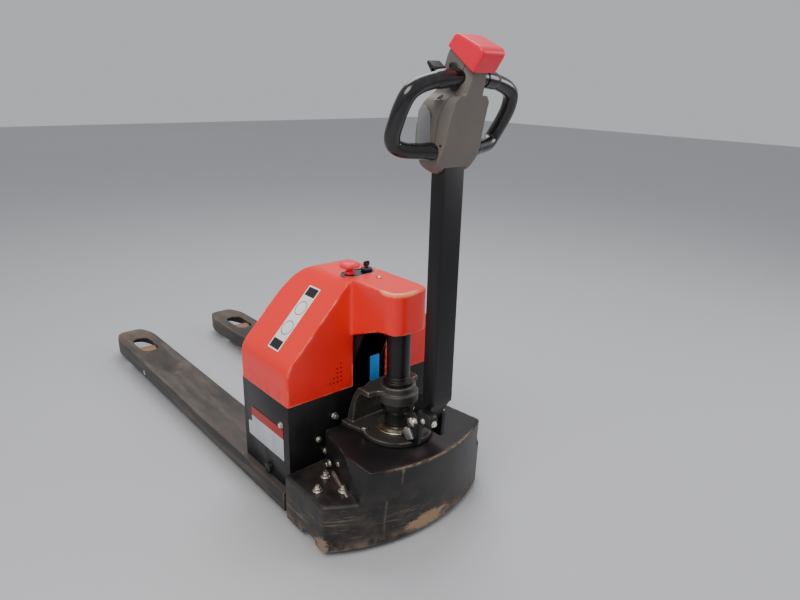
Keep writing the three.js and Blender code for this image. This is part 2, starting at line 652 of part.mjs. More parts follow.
// Casters either side of the drive wheel, bolted through the shelves
for (const [label, side] of SIDES) {
  const x = side * CASTER_X;
  const wheelY = CASTER_Y + CASTER_TRAIL;
  const under = SHELF_TOP - COVER_SHEET - GAP;
  const padFront = -412;
  const padBack = -284;
  let mount = block(side * 178, side * 258, padFront, padBack, under - 7, under);
  mount = mount.subtract(bar('z', 10.3, under - 10, under + 1, [x, CASTER_Y], 20));
  for (const at of shelfBolts(side)) {
    mount = mount.add(bar('z', 6, under - 3, SHELF_TOP + 16, at, 12));
    mount = mount.add(bar('z', 10, SHELF_TOP + GAP, SHELF_TOP + 9, at, 6));
  }
  add(`caster_mount_${label}`, mount, zinc);
  const fork = union(
    bar('z', 9.8, 96, under - 0.5, [x, CASTER_Y], 20),
    bar('z', 30, under - 24, under - 7.5, [x, CASTER_Y]),
    block(x - 24, x + 24, CASTER_Y - 20, wheelY + 14, 92, under - 20),
    block(x - 24, x - 19, CASTER_Y + 2, wheelY + 14, 26, 96),
    block(x + 19, x + 24, CASTER_Y + 2, wheelY + 14, 26, 96),
    bar('x', 6, x - 26, x + 26, [wheelY, CASTER_RADIUS], 16),
  );
  add(`caster_fork_${label}`, fork, zinc);
  const wheel = ring('x', CASTER_RADIUS, 6.6, x - 15, x + 15, [wheelY, CASTER_RADIUS], 32);
  add(`caster_wheel_${label}`, wheel, rubber);
}

// Lift crank: one cross shaft, two forward arms on the base pins, two short levers for the rods
function crankLeverPin() {
  const y = CRANK_Y - CRANK_LEVER * Math.sin(CRANK_LEVER_TILT);
  const z = CRANK_Z - CRANK_LEVER * Math.cos(CRANK_LEVER_TILT);
  return [y, z];
}

function rockerLeverPin() {
  const y = ROCKER_Y - ROCKER_LEVER * Math.sin(ROCKER_LEVER_TILT);
  const z = ROCKER_Z + ROCKER_LEVER * Math.cos(ROCKER_LEVER_TILT);
  return [y, z];
}

{
  let crank = bar('x', 14, -BOX_HALF - 8, BOX_HALF + 8, [CRANK_Y, CRANK_Z], 32);
  const length = Math.hypot(CRANK_PIN_Y - CRANK_Y, CRANK_PIN_Z - CRANK_Z);
  const rise = Math.atan2(CRANK_PIN_Z - CRANK_Z, CRANK_Y - CRANK_PIN_Y);
  for (const side of [-1, 1]) {
    const reach = length + CRANK_FORK_REACH;
    const arm = new THREE.BoxGeometry(10, reach, CRANK_FORK_SLOT + 14);
    arm.translate(0, -reach / 2, 0);
    const slot = new THREE.BoxGeometry(20, 2 * CRANK_SLOT_DEPTH, CRANK_FORK_SLOT);
    slot.translate(0, -reach, 0);
    const placed = [arm, slot].map((piece) => {
      piece.rotateX(-rise);
      piece.translate(side * CRANK_ARM_X, CRANK_Y, CRANK_Z);
      return solid(piece);
    });
    crank = crank.add(placed[0]).subtract(placed[1]);
    const [pinY, pinZ] = crankLeverPin();
    const x = side * FORK_CENTRE;
    const lever = outline([
      [CRANK_Y - 12, CRANK_Z + 4], [CRANK_Y + 12, CRANK_Z + 4],
      [pinY + 8, pinZ - 8, 5], [pinY - 8, pinZ - 8, 5],
    ]);
    crank = crank.add(prism(lever, 'x', x - 4, x + 4));
    crank = crank.add(bar('x', 4.5, x - 10, x + 10, [pinY, pinZ], 16));
  }
  add('lift_crank', crank, blackPaint);
}

// Push rods inside the forks and the rockers that carry the load wheels
for (const [label, side] of SIDES) {
  const x = side * FORK_CENTRE;
  const [startY, startZ] = crankLeverPin();
  const [endY, endZ] = rockerLeverPin();
  const saddle = (y, z, depth, floor) => cut(
    block(x - 12, x + 12, y - 13, y + 13, z - depth, z + 5),
    block(x - 5.4, x + 5.4, y - 14, y + 14, z - depth - 1, z + 8),
    block(x - 13, x + 13, y - 6.2, y + 6.2, z - depth + floor, z + 8),
  );
  const run = outline([
    [startY + 12, startZ - 7], [endY - 12, endZ - 6], [endY - 12, endZ + 4], [startY + 12, startZ + 2],
  ]);
  const shank = prism(run, 'x', x - 12, x + 12);
  const rod = union(shank, saddle(startY, startZ, 12, 5), saddle(endY, endZ, 7.5, 3));
  add(`push_rod_${label}`, rod, zinc);

  const wheelY = ROCKER_Y + Math.sqrt(ROCKER_ARM ** 2 - (ROCKER_Z - LOAD_RADIUS) ** 2);
  const cheek = outline([
    [ROCKER_Y - 16, ROCKER_Z - 13, 8], [wheelY - 4, LOAD_RADIUS - 13, 6], [wheelY + 15, LOAD_RADIUS - 8, 8],
    [wheelY + 15, LOAD_RADIUS + 9, 8], [wheelY - 8, LOAD_RADIUS + 14, 6], [ROCKER_Y - 10, ROCKER_Z + 16, 8],
  ]);
  const inner = LOAD_WIDTH / 2 + 2;
  const cheeks = [-1, 1].map((s) => prism(cheek, 'x', x + s * inner, x + s * (inner + 9)));
  const lever = outline([
    [ROCKER_Y - 12, ROCKER_Z], [ROCKER_Y + 12, ROCKER_Z], [endY + 7, endZ + 5, 4], [endY - 7, endZ + 5, 4],
  ]);
  const rocker = union(
    ...cheeks,
    bar('x', 16, x - inner - 5, x + inner + 5, [ROCKER_Y, ROCKER_Z]),
    bar('x', 8, x - inner - 5, x + inner + 5, [wheelY, LOAD_RADIUS], 20),
    prism(lever, 'x', x - 4, x + 4),
    bar('x', 4, x - 10, x + 10, [endY, endZ], 16),
  );
  add(`rocker_${label}`, rocker.subtract(bar('x', 10.6, x - 90, x + 90, [ROCKER_Y, ROCKER_Z])), blackPaint);
  const half = LOAD_WIDTH / 2;
  const wheel = ring('x', LOAD_RADIUS, 8.6, x - half, x + half, [wheelY, LOAD_RADIUS], 36);
  add(`load_wheel_${label}`, wheel, polyurethane);
}

// Tiller arm: rectangular tube with a rounded foot on the pivot pin
{
  const wall = 3;
  const tube = cut(
    block(-ARM_HALF, ARM_HALF, ARM_FRONT, ARM_BACK, 385, ARM_TOP),
    block(-ARM_HALF + wall, ARM_HALF - wall, ARM_FRONT + wall, ARM_BACK - wall, 392, ARM_TOP + 1),
  );
  const footShape = outline([
    [ARM_FRONT, 410], [ARM_FRONT, 366, 20], [ARM_FRONT + 16, 334, 20], [-488, 303, 14],
    [-458, 301, 12], [-448, 326, 16], [-460, 354, 14], [ARM_BACK, 390, 14], [ARM_BACK, 410],
  ]);
  const foot = prism(footShape, 'x', -ARM_HALF + 2, ARM_HALF - 2);
  add('tiller_arm', tube.add(foot).subtract(bar('x', 9.3, -60, 60, [PIVOT_Y, PIVOT_Z], 20)), blackPaint);
}

// Tiller head: side outline and front outline crossed, split into a front and a rear shell
const seamAlong = [-Math.cos(HEAD_TILT), -Math.sin(HEAD_TILT)];
const seamOut = [-Math.sin(HEAD_TILT), Math.cos(HEAD_TILT)];

function seamPoint(v, u, setback = 0) {
  return [
    SEAM_Y + v * seamAlong[0] + u * seamOut[0],
    SEAM_Z + v * seamAlong[1] + u * seamOut[1],
    setback,
  ];
}

const NECK_FRONT = 31;
const NECK_BACK = 45;
const PLUG = 10;

function headBody() {
  const side = outline([
    [-500, 934, 12], [-526, 942, 12], [-550, 992, 16], [-558, 1034, 16], [-570, 1078, 16],
    seamPoint(NECK_FRONT, -6, 6), seamPoint(NECK_FRONT, PLUG, 4),
    seamPoint(-NECK_BACK, PLUG, 4), seamPoint(-NECK_BACK, -14, 6),
    [-502, 1120, 20], [-474, 1076, 18], [-466, 1010, 20], [-474, 950, 16],
  ]);
  const front = outline([
    [-24, 930, 8], [24, 930, 8], [50, 950, 14], [61, 990, 16], [59, 1040, 16], [51, 1080, 14],
    [CAP_HALF - 4, 1112, 10], [CAP_HALF - 4, 1230], [-CAP_HALF + 4, 1230], [-CAP_HALF + 4, 1112, 10],
    [-51, 1080, 14], [-59, 1040, 16], [-61, 990, 16], [-50, 950, 14],
  ]);
  const cheek = (sign) => prism(outline([
    [sign * 44, -590], [sign * 75, -590], [sign * 75, -526], [sign * 61, -526],
  ]), 'z', 920, 1100);
  const body = prism(side, 'x', -80, 80, 4).intersect(prism(front, 'y', -660, -440, 4));
  return cut(body, cheek(-1), cheek(1));
}

function handlePath(side) {
  const points = [
    [20, -556, 1133], [60, -553, 1130], [98, -549, 1124], [130, -547, 1114], [149, -543, 1099],
    [157, -532, 1073], [157, -518, 1046], [154, -505, 1023], [146, -498, 1004], [131, -501, 993],
    [106, -508, 989], [66, -518, 987], [34, -524, 986],
  ];
  const path = points.map(([x, y, z]) => new THREE.Vector3(side * x, y, z));
  return new THREE.CatmullRomCurve3(path, false, 'centripetal');
}

function handleTube(side, radius) {
  const section = new THREE.Shape();
  section.absarc(0, 0, radius, 0, 2 * Math.PI, false);
  const settings = { steps: 26, extrudePath: handlePath(side), bevelEnabled: false, curveSegments: 7 };
  return solid(new THREE.ExtrudeGeometry(section, settings));
}

const BUTTON_NORMAL = 12 * DEG;

function headButton(radius, x, z, from, to, segments = 18) {
  const button = new THREE.CylinderGeometry(radius, radius, to - from, segments);
  button.translate(0, (from + to) / 2, 0);
  button.rotateX(BUTTON_NORMAL);
  button.translate(x, -470, z);
  return solid(button);
}

const BUTTONS = [['lift_button', -18, 1050, 8], ['lower_button', 18, 1050, 8], ['horn_button', 0, 1018, 10]];
{
  const sockets = SIDES.map(([, side]) => handleTube(side, HANDLE_RADIUS + 0.7));
  const armSocket = block(
    -ARM_HALF - 0.5, ARM_HALF + 0.5, ARM_FRONT - 0.5, ARM_BACK + 0.5, 900, ARM_TOP + 0.5,
  );
  const wells = BUTTONS.map(([, x, z, radius]) => headButton(radius + 0.6, x, z, -12, 20));
  const shaftWell = bar('x', 5.6, -80, 80, [-522, 1144], 18);
  const whole = cut(headBody(), ...sockets, armSocket, ...wells, shaftWell);
  const frontCut = outline([
    [-620, 900], [-528, 900], [-528, 1000], [-536, 1060], [-550, 1100], seamPoint(NECK_FRONT - 24, -6),
    seamPoint(NECK_FRONT - 24, -4), seamPoint(NECK_FRONT + 40, -4), [-660, 1100],
  ]);
  const frontZone = prism(frontCut, 'x', -90, 90);
  const rearGap = prism(frontCut, 'x', -90, 90).translate([0, 0.4, 0.3]);
  add('head_front', whole.intersect(frontZone), taupe);
  add('head_rear', whole.subtract(union(frontZone, rearGap)), taupe);
  for (const [label, side] of SIDES) {
    add(`handle_${label}`, handleTube(side, HANDLE_RADIUS), blackGloss);
  }
  for (const [name, x, z, radius] of BUTTONS) {
    add(name, headButton(radius, x, z, -7, 7), name === 'horn_button' ? darkPlastic : blackGloss);
  }
}

// Belly switch cap: slides over the neck along the head axis
{
  const front = NECK_FRONT + 6;
  const back = NECK_BACK + 6;
  const skin = outline([
    seamPoint(front, 0, 3), seamPoint(front + 2, 50, 14),
    seamPoint(-back + 4, 32, 12), seamPoint(-back, 0, 3),
  ]);
  const pocket = outline([
    seamPoint(NECK_FRONT + 1, -2), seamPoint(NECK_FRONT + 1, PLUG + CAP_TRAVEL + 2),
    seamPoint(-NECK_BACK - 1, PLUG + CAP_TRAVEL + 2), seamPoint(-NECK_BACK - 1, -2),
  ]);
  const inner = CAP_HALF - 3.2;
  const cap = prism(skin, 'x', -CAP_HALF, CAP_HALF).subtract(prism(pocket, 'x', -inner, inner));
  add('belly_switch', cap, redCap);
}

// Speed paddles: one shaft through the neck with a thumb wing at each end
{
  const wing = outline([
    [-528, 1140, 3], [-516, 1138, 4], [-498, 1160, 4], [-506, 1168, 4], [-524, 1152, 3],
  ]);
  const wings = [-1, 1].map((side) => prism(wing, 'x', side * 33, side * 66));
  const shaft = bar('x', 5, -66, 66, [-522, 1144], 18);
  add('speed_paddles', union(shaft, ...wings), darkPlastic);
}

// Centre the footprint on the origin
const bounds = new THREE.Box3().setFromObject(truck);
truck.position.y = -(bounds.min.y + bounds.max.y) / 2;

export default truck;
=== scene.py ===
import json
import math

import bmesh
import bpy
from mathutils import Matrix, Vector

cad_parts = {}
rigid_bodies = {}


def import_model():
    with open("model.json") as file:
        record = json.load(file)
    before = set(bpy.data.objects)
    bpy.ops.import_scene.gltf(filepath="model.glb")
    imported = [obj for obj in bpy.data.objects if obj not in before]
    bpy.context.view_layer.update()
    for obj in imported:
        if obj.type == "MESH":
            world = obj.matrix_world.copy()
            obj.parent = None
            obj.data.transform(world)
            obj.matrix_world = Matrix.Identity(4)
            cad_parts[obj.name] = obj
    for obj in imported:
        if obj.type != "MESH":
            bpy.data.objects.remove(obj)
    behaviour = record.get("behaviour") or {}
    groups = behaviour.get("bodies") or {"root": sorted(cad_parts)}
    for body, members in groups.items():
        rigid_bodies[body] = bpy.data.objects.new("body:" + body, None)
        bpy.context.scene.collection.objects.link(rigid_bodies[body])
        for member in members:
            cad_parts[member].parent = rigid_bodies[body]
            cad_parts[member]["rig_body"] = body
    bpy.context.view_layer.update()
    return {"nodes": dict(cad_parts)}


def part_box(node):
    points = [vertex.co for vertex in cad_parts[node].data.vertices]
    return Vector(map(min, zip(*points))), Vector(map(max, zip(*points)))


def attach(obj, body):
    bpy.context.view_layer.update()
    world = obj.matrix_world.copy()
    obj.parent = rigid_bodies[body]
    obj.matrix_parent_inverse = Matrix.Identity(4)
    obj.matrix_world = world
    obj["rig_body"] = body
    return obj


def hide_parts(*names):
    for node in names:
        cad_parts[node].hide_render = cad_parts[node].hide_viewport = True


# Walkie electric pallet truck. Shapes below are written in millimetres from the fork face of the
# battery box, with +Z up and the forks along +Y; PLACE puts them in the frame's own metres.

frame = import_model()
MM = 0.001
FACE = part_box("battery_box")[1].y
PLACE = Matrix.Translation((0, FACE, 0)) @ Matrix.Diagonal((MM, MM, MM, 1))
TAU = 2 * math.pi
SIDES = (("left", -1), ("right", 1))


def spot(x, y, z):
    """A place in build millimetres as frame metres."""
    return (x * MM, FACE + y * MM, z * MM)


def radii(x, y, z):
    return (x * MM, y * MM, z * MM)


# Where the paint is worn, as a place and radii: the low front and left corner of the bumper; and where it is
# worn
# and carries a painted highlight: the rim over its front and the top edge of the hood's nose
SCRAPE = spot(-10, -503, 44), radii(130, 70, 46)
CORNER_SCRAPE = spot(-283, -415, 34), radii(26, 60, 52)
RIM_WEAR_AND_HIGHLIGHT = spot(20, -518, 236), radii(190, 60, 20)
NOSE_WEAR_AND_HIGHLIGHT = spot(-36, -400, 640), radii(62, 56, 15)
SIDE_BAND = 232 * MM

# ---- camera, floor and light
# The camera was fitted to the photo: sensor and lens in millimetres, turns in degrees
SENSOR, LENS = 36, 28.5
AZIMUTH, PITCH, ROLL = (math.radians(turn) for turn in (-41.04, 19.19, 1.4))
EYE = spot(-981.4, -1490.3, 1125.6)
FLOOR_HALF = 14
FLOOR_GREYS = (0.44, 0.44, 0.455, 1), (0.54, 0.54, 0.555, 1)
SKY, SKY_STRENGTH = (0.8, 0.82, 0.86, 1), 0.62
# Name, place, aim, size, power and colour, in metres and watts
LIGHTS = (
    ("key", (-2.2, -1.6, 3.2), (0, -0.3, 0.4), 2.2, 95, (1, 0.98, 0.95)),
    ("overhead", (0.8, 0.9, 3.4), (0, -0.2, 0.4), 2.6, 70, (0.96, 0.98, 1)),
    ("rim", (2.6, -2.2, 1.9), (0, -0.5, 0.5), 1.4, 25, (1, 1, 1)),
)


def in_scene(name, data):
    made = bpy.data.objects.new(name, data)
    bpy.context.scene.collection.objects.link(made)
    return made


def camera():
    data = bpy.data.cameras.new("camera")
    data.sensor_width = SENSOR
    data.lens = LENS
    cam = in_scene("camera", data)
    cam.matrix_world = (Matrix.Translation(EYE) @ Matrix.Rotation(AZIMUTH, 4, "Z")
                        @ Matrix.Rotation(math.pi / 2 - PITCH, 4, "X") @ Matrix.Rotation(ROLL, 4, "Z"))
    bpy.context.scene.camera = cam


def area_light(name, place, aim, size, power, colour):
    data = bpy.data.lights.new(name, "AREA")
    data.shape = "DISK"
    data.size = size
    data.energy = power
    data.color = colour
    lamp = in_scene(name, data)
    lamp.location = place
    lamp.rotation_euler = (Vector(aim) - Vector(place)).to_track_quat("-Z", "Y").to_euler()


def studio():
    mesh = bpy.data.meshes.new("floor")
    edge = [(x * FLOOR_HALF, y * FLOOR_HALF, 0) for x, y in ((-1, -1), (1, -1), (1, 1), (-1, 1))]
    mesh.from_pydata(edge, [], [(0, 1, 2, 3)])
    floor = in_scene("floor", mesh)
    look = bpy.data.materials.new("pale_floor")
    look.use_nodes = True
    nodes, links = look.node_tree.nodes, look.node_tree.links
    shader = nodes["Principled BSDF"]
    shader.inputs["Roughness"].default_value = 0.6
    noise = nodes.new("ShaderNodeTexNoise")
    noise.inputs["Scale"].default_value = 3
    ramp = nodes.new("ShaderNodeValToRGB")
    for element, grey in zip(ramp.color_ramp.elements, FLOOR_GREYS):
        element.color = grey
    links.new(noise.outputs["Fac"], ramp.inputs["Fac"])
    links.new(ramp.outputs["Color"], shader.inputs["Base Color"])
    mesh.materials.append(look)
    world = bpy.data.worlds.new("studio")
    world.use_nodes = True
    world.node_tree.nodes["Background"].inputs["Color"].default_value = SKY
    world.node_tree.nodes["Background"].inputs["Strength"].default_value = SKY_STRENGTH
    bpy.context.scene.world = world
    for light in LIGHTS:
        area_light(*light)


camera()
studio()

# ---- materials
COAT_ROUGHNESS = 0.12
LOOKS = {}


class Look:
    """A Principled material built up in layers over object coordinates, which are metres in the frame."""

    def __init__(self, name, colour, roughness, metallic=0.0, coat=0.0, specular=0.5):
        self.material = bpy.data.materials.new(name)
        self.material.use_nodes = True
        self.tree = self.material.node_tree
        self.shader = self.tree.nodes["Principled BSDF"]
        self.give(self.shader, {
            "Coat Weight": coat, "Coat Roughness": COAT_ROUGHNESS, "Specular IOR Level": specular,
        })
        self.place = self.node("ShaderNodeTexCoord").outputs["Object"]
        base = self.node("ShaderNodeRGB")
        base.outputs[0].default_value = (*colour, 1)
        self.colour = base.outputs[0]
        self.rough = roughness
        self.metal = metallic
        self.normal = None
        LOOKS[name] = self

    def give(self, node, inputs):
        """Sets each input to a number, or links it to another node's output."""
        for socket, given in inputs.items():
            if isinstance(given, bpy.types.NodeSocket):
                self.tree.links.new(given, node.inputs[socket])
            elif given is not None:
                node.inputs[socket].default_value = given

    def node(self, kind, inputs=None, **settings):
        made = self.tree.nodes.new(kind)
        for key, setting in settings.items():
            setattr(made, key, setting)
        self.give(made, inputs or {})
        return made

    def math(self, operation, first, second):
        return self.node("ShaderNodeMath", {0: first, 1: second}, operation=operation).outputs[0]

    def vector(self, operation, first, second=None):
        return self.node("ShaderNodeVectorMath", {0: first, 1: second}, operation=operation).outputs

    def joined(self, *facs):
        """The product of several masks and shares."""
        made = facs[0]
        for fac in facs[1:]:
            made = self.math("MULTIPLY", made, fac)
        return made

    def noise(self, scale, detail=4.0, stretch=None, rough=0.55):
        place = self.place
        if stretch:
            place = self.node("ShaderNodeMapping", {"Vector": place, "Scale": stretch}).outputs[0]
        inputs = {"Vector": place, "Scale": scale, "Detail": detail, "Roughness": rough}
        return self.node("ShaderNodeTexNoise", inputs).outputs["Fac"]

    def between(self, fac, low, high):
        inputs = {"Value": fac, "From Min": low, "From Max": high}
        return self.node("ShaderNodeMapRange", inputs, clamp=True).outputs[0]

    def mask(self, low, high, *given, **also):
        """1 where a noise is over high, fading to 0 where it is under low."""
        return self.between(self.noise(*given, **also), low, high)

    def along(self, axis):
        """The place along X, Y or Z in the frame, in metres."""
        return self.node("ShaderNodeSeparateXYZ", {0: self.place}).outputs[axis]

    def height(self, low, high):
        """1 below low, 0 above high, along Z."""
        return self.between(self.along("Z"), high, low)

    def near(self, where, soft):
        """1 inside an ellipsoid round a place, fading to 0 at its skin."""
        centre, size = where
        share = self.vector("DIVIDE", self.vector("SUBTRACT", self.place, centre)[0], size)[0]
        return self.between(self.vector("LENGTH", share)["Value"], 1.0, 1.0 - soft)

    def edges(self, radius, low=0.02, high=0.16):
        """1 on convex and concave edges, from the turn of a softened normal."""
        bevel = self.node("ShaderNodeBevel", {"Radius": radius}, samples=6)
        normal = self.node("ShaderNodeNewGeometry").outputs["Normal"]
        turn = self.vector("DOT_PRODUCT", bevel.outputs[0], normal)["Value"]
        return self.between(self.math("SUBTRACT", 1.0, turn), low, high)

    def mix(self, kind, fac, below, above):
        first, result = {"RGBA": (6, 2), "FLOAT": (2, 0)}[kind]
        inputs = {"Factor": fac, first: below, first + 1: above}
        return self.node("ShaderNodeMix", inputs, data_type=kind).outputs[result]

    def paint(self, colour, roughness, *masks, metallic=None):
        """Lays a colour, a roughness and if given a metal over the rest, by the product of the masks."""
        fac = self.joined(*masks)
        self.colour = self.mix("RGBA", fac, self.colour, (*colour, 1))
        self.rough = self.mix("FLOAT", fac, self.rough, roughness)
        if metallic is not None:
            self.metal = self.mix("FLOAT", fac, self.metal, metallic)

    def shade(self, scale, amount):
        """Darkens and lightens the colour by a share, in clouds."""
        level = self.math("ADD", self.math("MULTIPLY", self.noise(scale), 2 * amount), 1 - amount)
        inputs = {0: self.colour, "Scale": level}
        self.colour = self.node("ShaderNodeVectorMath", inputs, operation="SCALE").outputs[0]

    def bump(self, depth, fac):
        inputs = {"Height": fac, "Distance": depth, "Strength": 1.0, "Normal": self.normal}
        self.normal = self.node("ShaderNodeBump", inputs).outputs[0]

    def done(self):
        """Wires the layers to the shader."""
        self.give(self.shader, {
            "Base Color": self.colour, "Roughness": self.rough, "Metallic": self.metal, "Normal": self.normal,
        })


def black_paint():
    look = Look("black_paint", (0.0075, 0.0072, 0.008), 0.36, specular=0.36)
    look.shade(6, 0.3)
    look.paint((0.07, 0.058, 0.045), 0.7, look.mask(0.55, 0.78, 9, 6), 0.16)
    look.paint((0.12, 0.1, 0.08), 0.6, look.mask(0.68, 0.74, 160, 3, rough=0.7), 0.5)
    look.paint((0.2, 0.18, 0.16), 0.5, look.edges(0.0025), look.mask(0.52, 0.64, 60, 5), 0.5)
    look.bump(0.00008, look.noise(420, 2))


def fork_paint():
    """Black paint scraped brown by pallets, in streaks along the fork."""
    look = Look("fork_paint", (0.009, 0.0085, 0.009), 0.42, specular=0.4)
    look.shade(5, 0.35)
    look.paint((0.075, 0.058, 0.046), 0.65, look.mask(0.44, 0.72, 8, 7, rough=0.65), 0.35)
    top = look.between(look.along("Z"), 0.083, 0.0875)
    dusty = look.mask(0.28, 0.62, 9, 8, (1.0, 0.3, 1.0), 0.66)
    look.paint((0.105, 0.082, 0.07), 0.72, dusty, top, 0.75)
    streaks = look.mask(0.5, 0.62, 26, 8, (1.0, 0.1, 1.0), 0.7)
    look.paint((0.13, 0.105, 0.085), 0.6, streaks, 0.5)
    rust = look.mask(0.58, 0.68, 6.5, 6, rough=0.62)
    look.paint((0.17, 0.115, 0.075), 0.8, rust, 0.6, look.mask(0.35, 0.6, 60, 5))
    tips = look.between(look.along("Y"), FACE + 0.95, FACE + 1.13)
    ragged = look.mask(0.36, 0.66, 34, 9, (1.0, 0.4, 1.0), 0.75)
    look.paint((0.2, 0.145, 0.1), 0.75, tips, ragged, 0.75)
    look.paint((0.3, 0.23, 0.17), 0.6, look.edges(0.005), look.mask(0.46, 0.58, 22, 6), 0.75)
    look.bump(0.00012, look.noise(260, 3))
    look.bump(0.0002, streaks)


def cover_paint():
    """Black paint on the bumper: level scrapes, a rubbed rim with a painted highlight along it and one large
    bare patch low in front.
    """
    look = Look("cover_paint", (0.0085, 0.008, 0.0085), 0.38, specular=0.4)
    look.shade(5, 0.3)
    look.paint((0.085, 0.066, 0.052), 0.68, look.mask(0.48, 0.74, 8, 7, rough=0.65), 0.22)
    haze = look.mask(0.44, 0.66, 14, 9, rough=0.72)
    look.paint((0.115, 0.09, 0.068), 0.7, haze, look.height(0.09, 0.225), 0.4)
    fine = look.mask(0.57, 0.6, 60, 9, (0.16, 0.16, 3.0), 0.78)
    broken = look.mask(0.46, 0.58, 16, 5)
    look.paint((0.22, 0.175, 0.135), 0.7, fine, broken, look.height(0.1, 0.17), 0.6)
    low = look.height(0.075, 0.155)
    scrapes = look.mask(0.56, 0.6, 22, 9, (0.2, 0.2, 2.6), 0.76)
    look.paint((0.19, 0.145, 0.11), 0.7, scrapes, low, broken, 0.7)
    look.paint((0.24, 0.17, 0.115), 0.85, look.height(0.018, 0.055), look.mask(0.44, 0.6, 24, 6), 0.75)
    torn = look.math("MULTIPLY", look.noise(34, 12, (0.5, 0.5, 1.6), 0.85), 2.6)
    bare = look.math("ADD", look.near(SCRAPE, 1.0), torn)
    look.paint((0.33, 0.215, 0.135), 0.82, look.between(bare, 1.72, 1.84))
    corner = look.math("ADD", look.near(CORNER_SCRAPE, 1.0), torn)
    look.paint((0.25, 0.17, 0.115), 0.8, look.between(corner, 1.72, 1.9))
    # Pale brown along the rim over the front: partly rubbed paint, partly a painted highlight
    rim = look.joined(look.near(RIM_WEAR_AND_HIGHLIGHT, 0.4), look.edges(0.01, 0.012, 0.1))
    look.paint((0.38, 0.27, 0.17), 0.7, rim, look.mask(0.3, 0.44, 40, 5))
    look.paint((0.26, 0.21, 0.16), 0.6, look.edges(0.005), look.mask(0.47, 0.6, 22, 6), 0.6)
    look.bump(0.0001, look.noise(260, 3))
    look.bump(0.00022, look.joined(scrapes, low))


def red_shell():
    look = Look("red_shell", (0.88, 0.018, 0.012), 0.34, coat=0.12, specular=0.4)
    look.shade(3.5, 0.06)
    look.paint((0.85, 0.1, 0.05), 0.5, look.mask(0.62, 0.76, 24, 7, (1, 0.25, 0.6), 0.7), 0.3)
    look.paint((0.92, 0.36, 0.16), 0.5, look.edges(0.009, 0.02, 0.12), look.mask(0.46, 0.6, 26, 6), 0.75)
    # Pale yellow along the top edge of the nose: partly worn paint, partly a painted highlight
    rim = look.joined(look.near(NOSE_WEAR_AND_HIGHLIGHT, 0.3), look.edges(0.011, 0.006, 0.045))
    look.paint((0.95, 0.62, 0.26), 0.4, rim, look.mask(0.28, 0.44, 44, 4))
    look.paint((0.3, 0.02, 0.012), 0.6, look.height(0.338, 0.385), look.mask(0.42, 0.7, 26, 6), 0.4)
    look.bump(0.00012, look.noise(90, 2))
    look.bump(0.00003, look.noise(700, 2))


def plastic(name, colour, roughness, grain=0.00008, coat=0.0, soil=0.25, soil_colour=(0.1, 0.085, 0.07)):
    look = Look(name, colour, roughness, coat=coat, specular=0.42)
    look.shade(12, 0.12)
    look.paint(soil_colour, min(1.0, roughness + 0.2), look.mask(0.52, 0.72, 28, 7, rough=0.7), soil)
    pale = tuple(min(1.0, channel * 1.5 + 0.03) for channel in colour)
    look.paint(pale, roughness, look.edges(0.002, 0.05, 0.25), look.mask(0.45, 0.6, 90, 4), 0.4)
    look.bump(grain, look.noise(1100, 3))


def metal(name, colour, roughness, stain=0.4, stain_colour=(0.16, 0.11, 0.07)):
    look = Look(name, colour, roughness, metallic=1.0)
    look.shade(40, 0.12)
    dull = look.mask(0.5, 0.72, 55, 6, rough=0.65)
    look.paint(stain_colour, min(1.0, roughness + 0.3), dull, stain, metallic=0.5)
    look.bump(0.00004, look.noise(500, 2, (1, 1, 0.2)))


def cast_iron():
    look = Look("cast_iron", (0.06, 0.055, 0.05), 0.46, metallic=0.5)
    look.shade(18, 0.3)
    look.paint((0.018, 0.016, 0.014), 0.32, look.mask(0.45, 0.62, 9, 5), 0.7, metallic=0.3)
    worn = look.joined(look.edges(0.007, 0.015, 0.12), look.mask(0.36, 0.52, 35, 5))
    look.paint((0.42, 0.38, 0.33), 0.4, worn, 0.85, metallic=0.8)
    look.bump(0.0004, look.noise(160, 4, rough=0.6))


def rubber(name, colour, roughness):
    look = Look(name, colour, roughness)
    look.shade(30, 0.25)
    look.paint((0.14, 0.115, 0.09), 0.9, look.mask(0.45, 0.7, 20, 7), 0.5)
    look.bump(0.00025, look.noise(240, 4))


def side_plate():
    """Pale grey film with a red band along its top."""
    look = Look("side_plate", (0.5, 0.51, 0.55), 0.4, specular=0.4)
    look.shade(14, 0.1)
    look.paint((0.4, 0.4, 0.43), 0.4, look.mask(0.44, 0.47, 4, 2, (1, 3, 1)), 0.35)
    band = look.between(look.along("Z"), SIDE_BAND - 0.0004, SIDE_BAND + 0.0004)
    look.paint((0.36, 0.01, 0.008), 0.36, band)
    look.paint((0.16, 0.13, 0.11), 0.7, look.mask(0.56, 0.72, 30, 7, rough=0.7), 0.35)
    look.bump(0.00004, look.noise(300, 3))


black_paint()
fork_paint()
cover_paint()
red_shell()
plastic("red_cap", (0.86, 0.01, 0.042), 0.34, coat=0.08, soil=0.06, soil_colour=(0.4, 0.02, 0.03))
plastic("taupe", (0.15, 0.128, 0.112), 0.46, soil=0.3)
plastic("grey_panel", (0.2, 0.2, 0.205), 0.45, soil=0.2)
plastic("black_gloss", (0.01, 0.009, 0.01), 0.2, 0.00003, 0.3, 0.35, (0.055, 0.042, 0.034))
plastic("dark_plastic", (0.013, 0.013, 0.015), 0.46)
cast_iron()
metal("zinc", (0.8, 0.76, 0.66), 0.3, 0.3)
metal("chrome", (0.82, 0.8, 0.76), 0.14, 0.25)
metal("ring_steel", (0.86, 0.76, 0.54), 0.24, 0.15)
metal("worn_steel", (0.4, 0.35, 0.3), 0.5, 0.6, (0.12, 0.09, 0.07))
metal("brass", (0.6, 0.42, 0.18), 0.36)
metal("silver", (0.64, 0.64, 0.63), 0.38)
rubber("rubber", (0.02, 0.02, 0.02), 0.8)
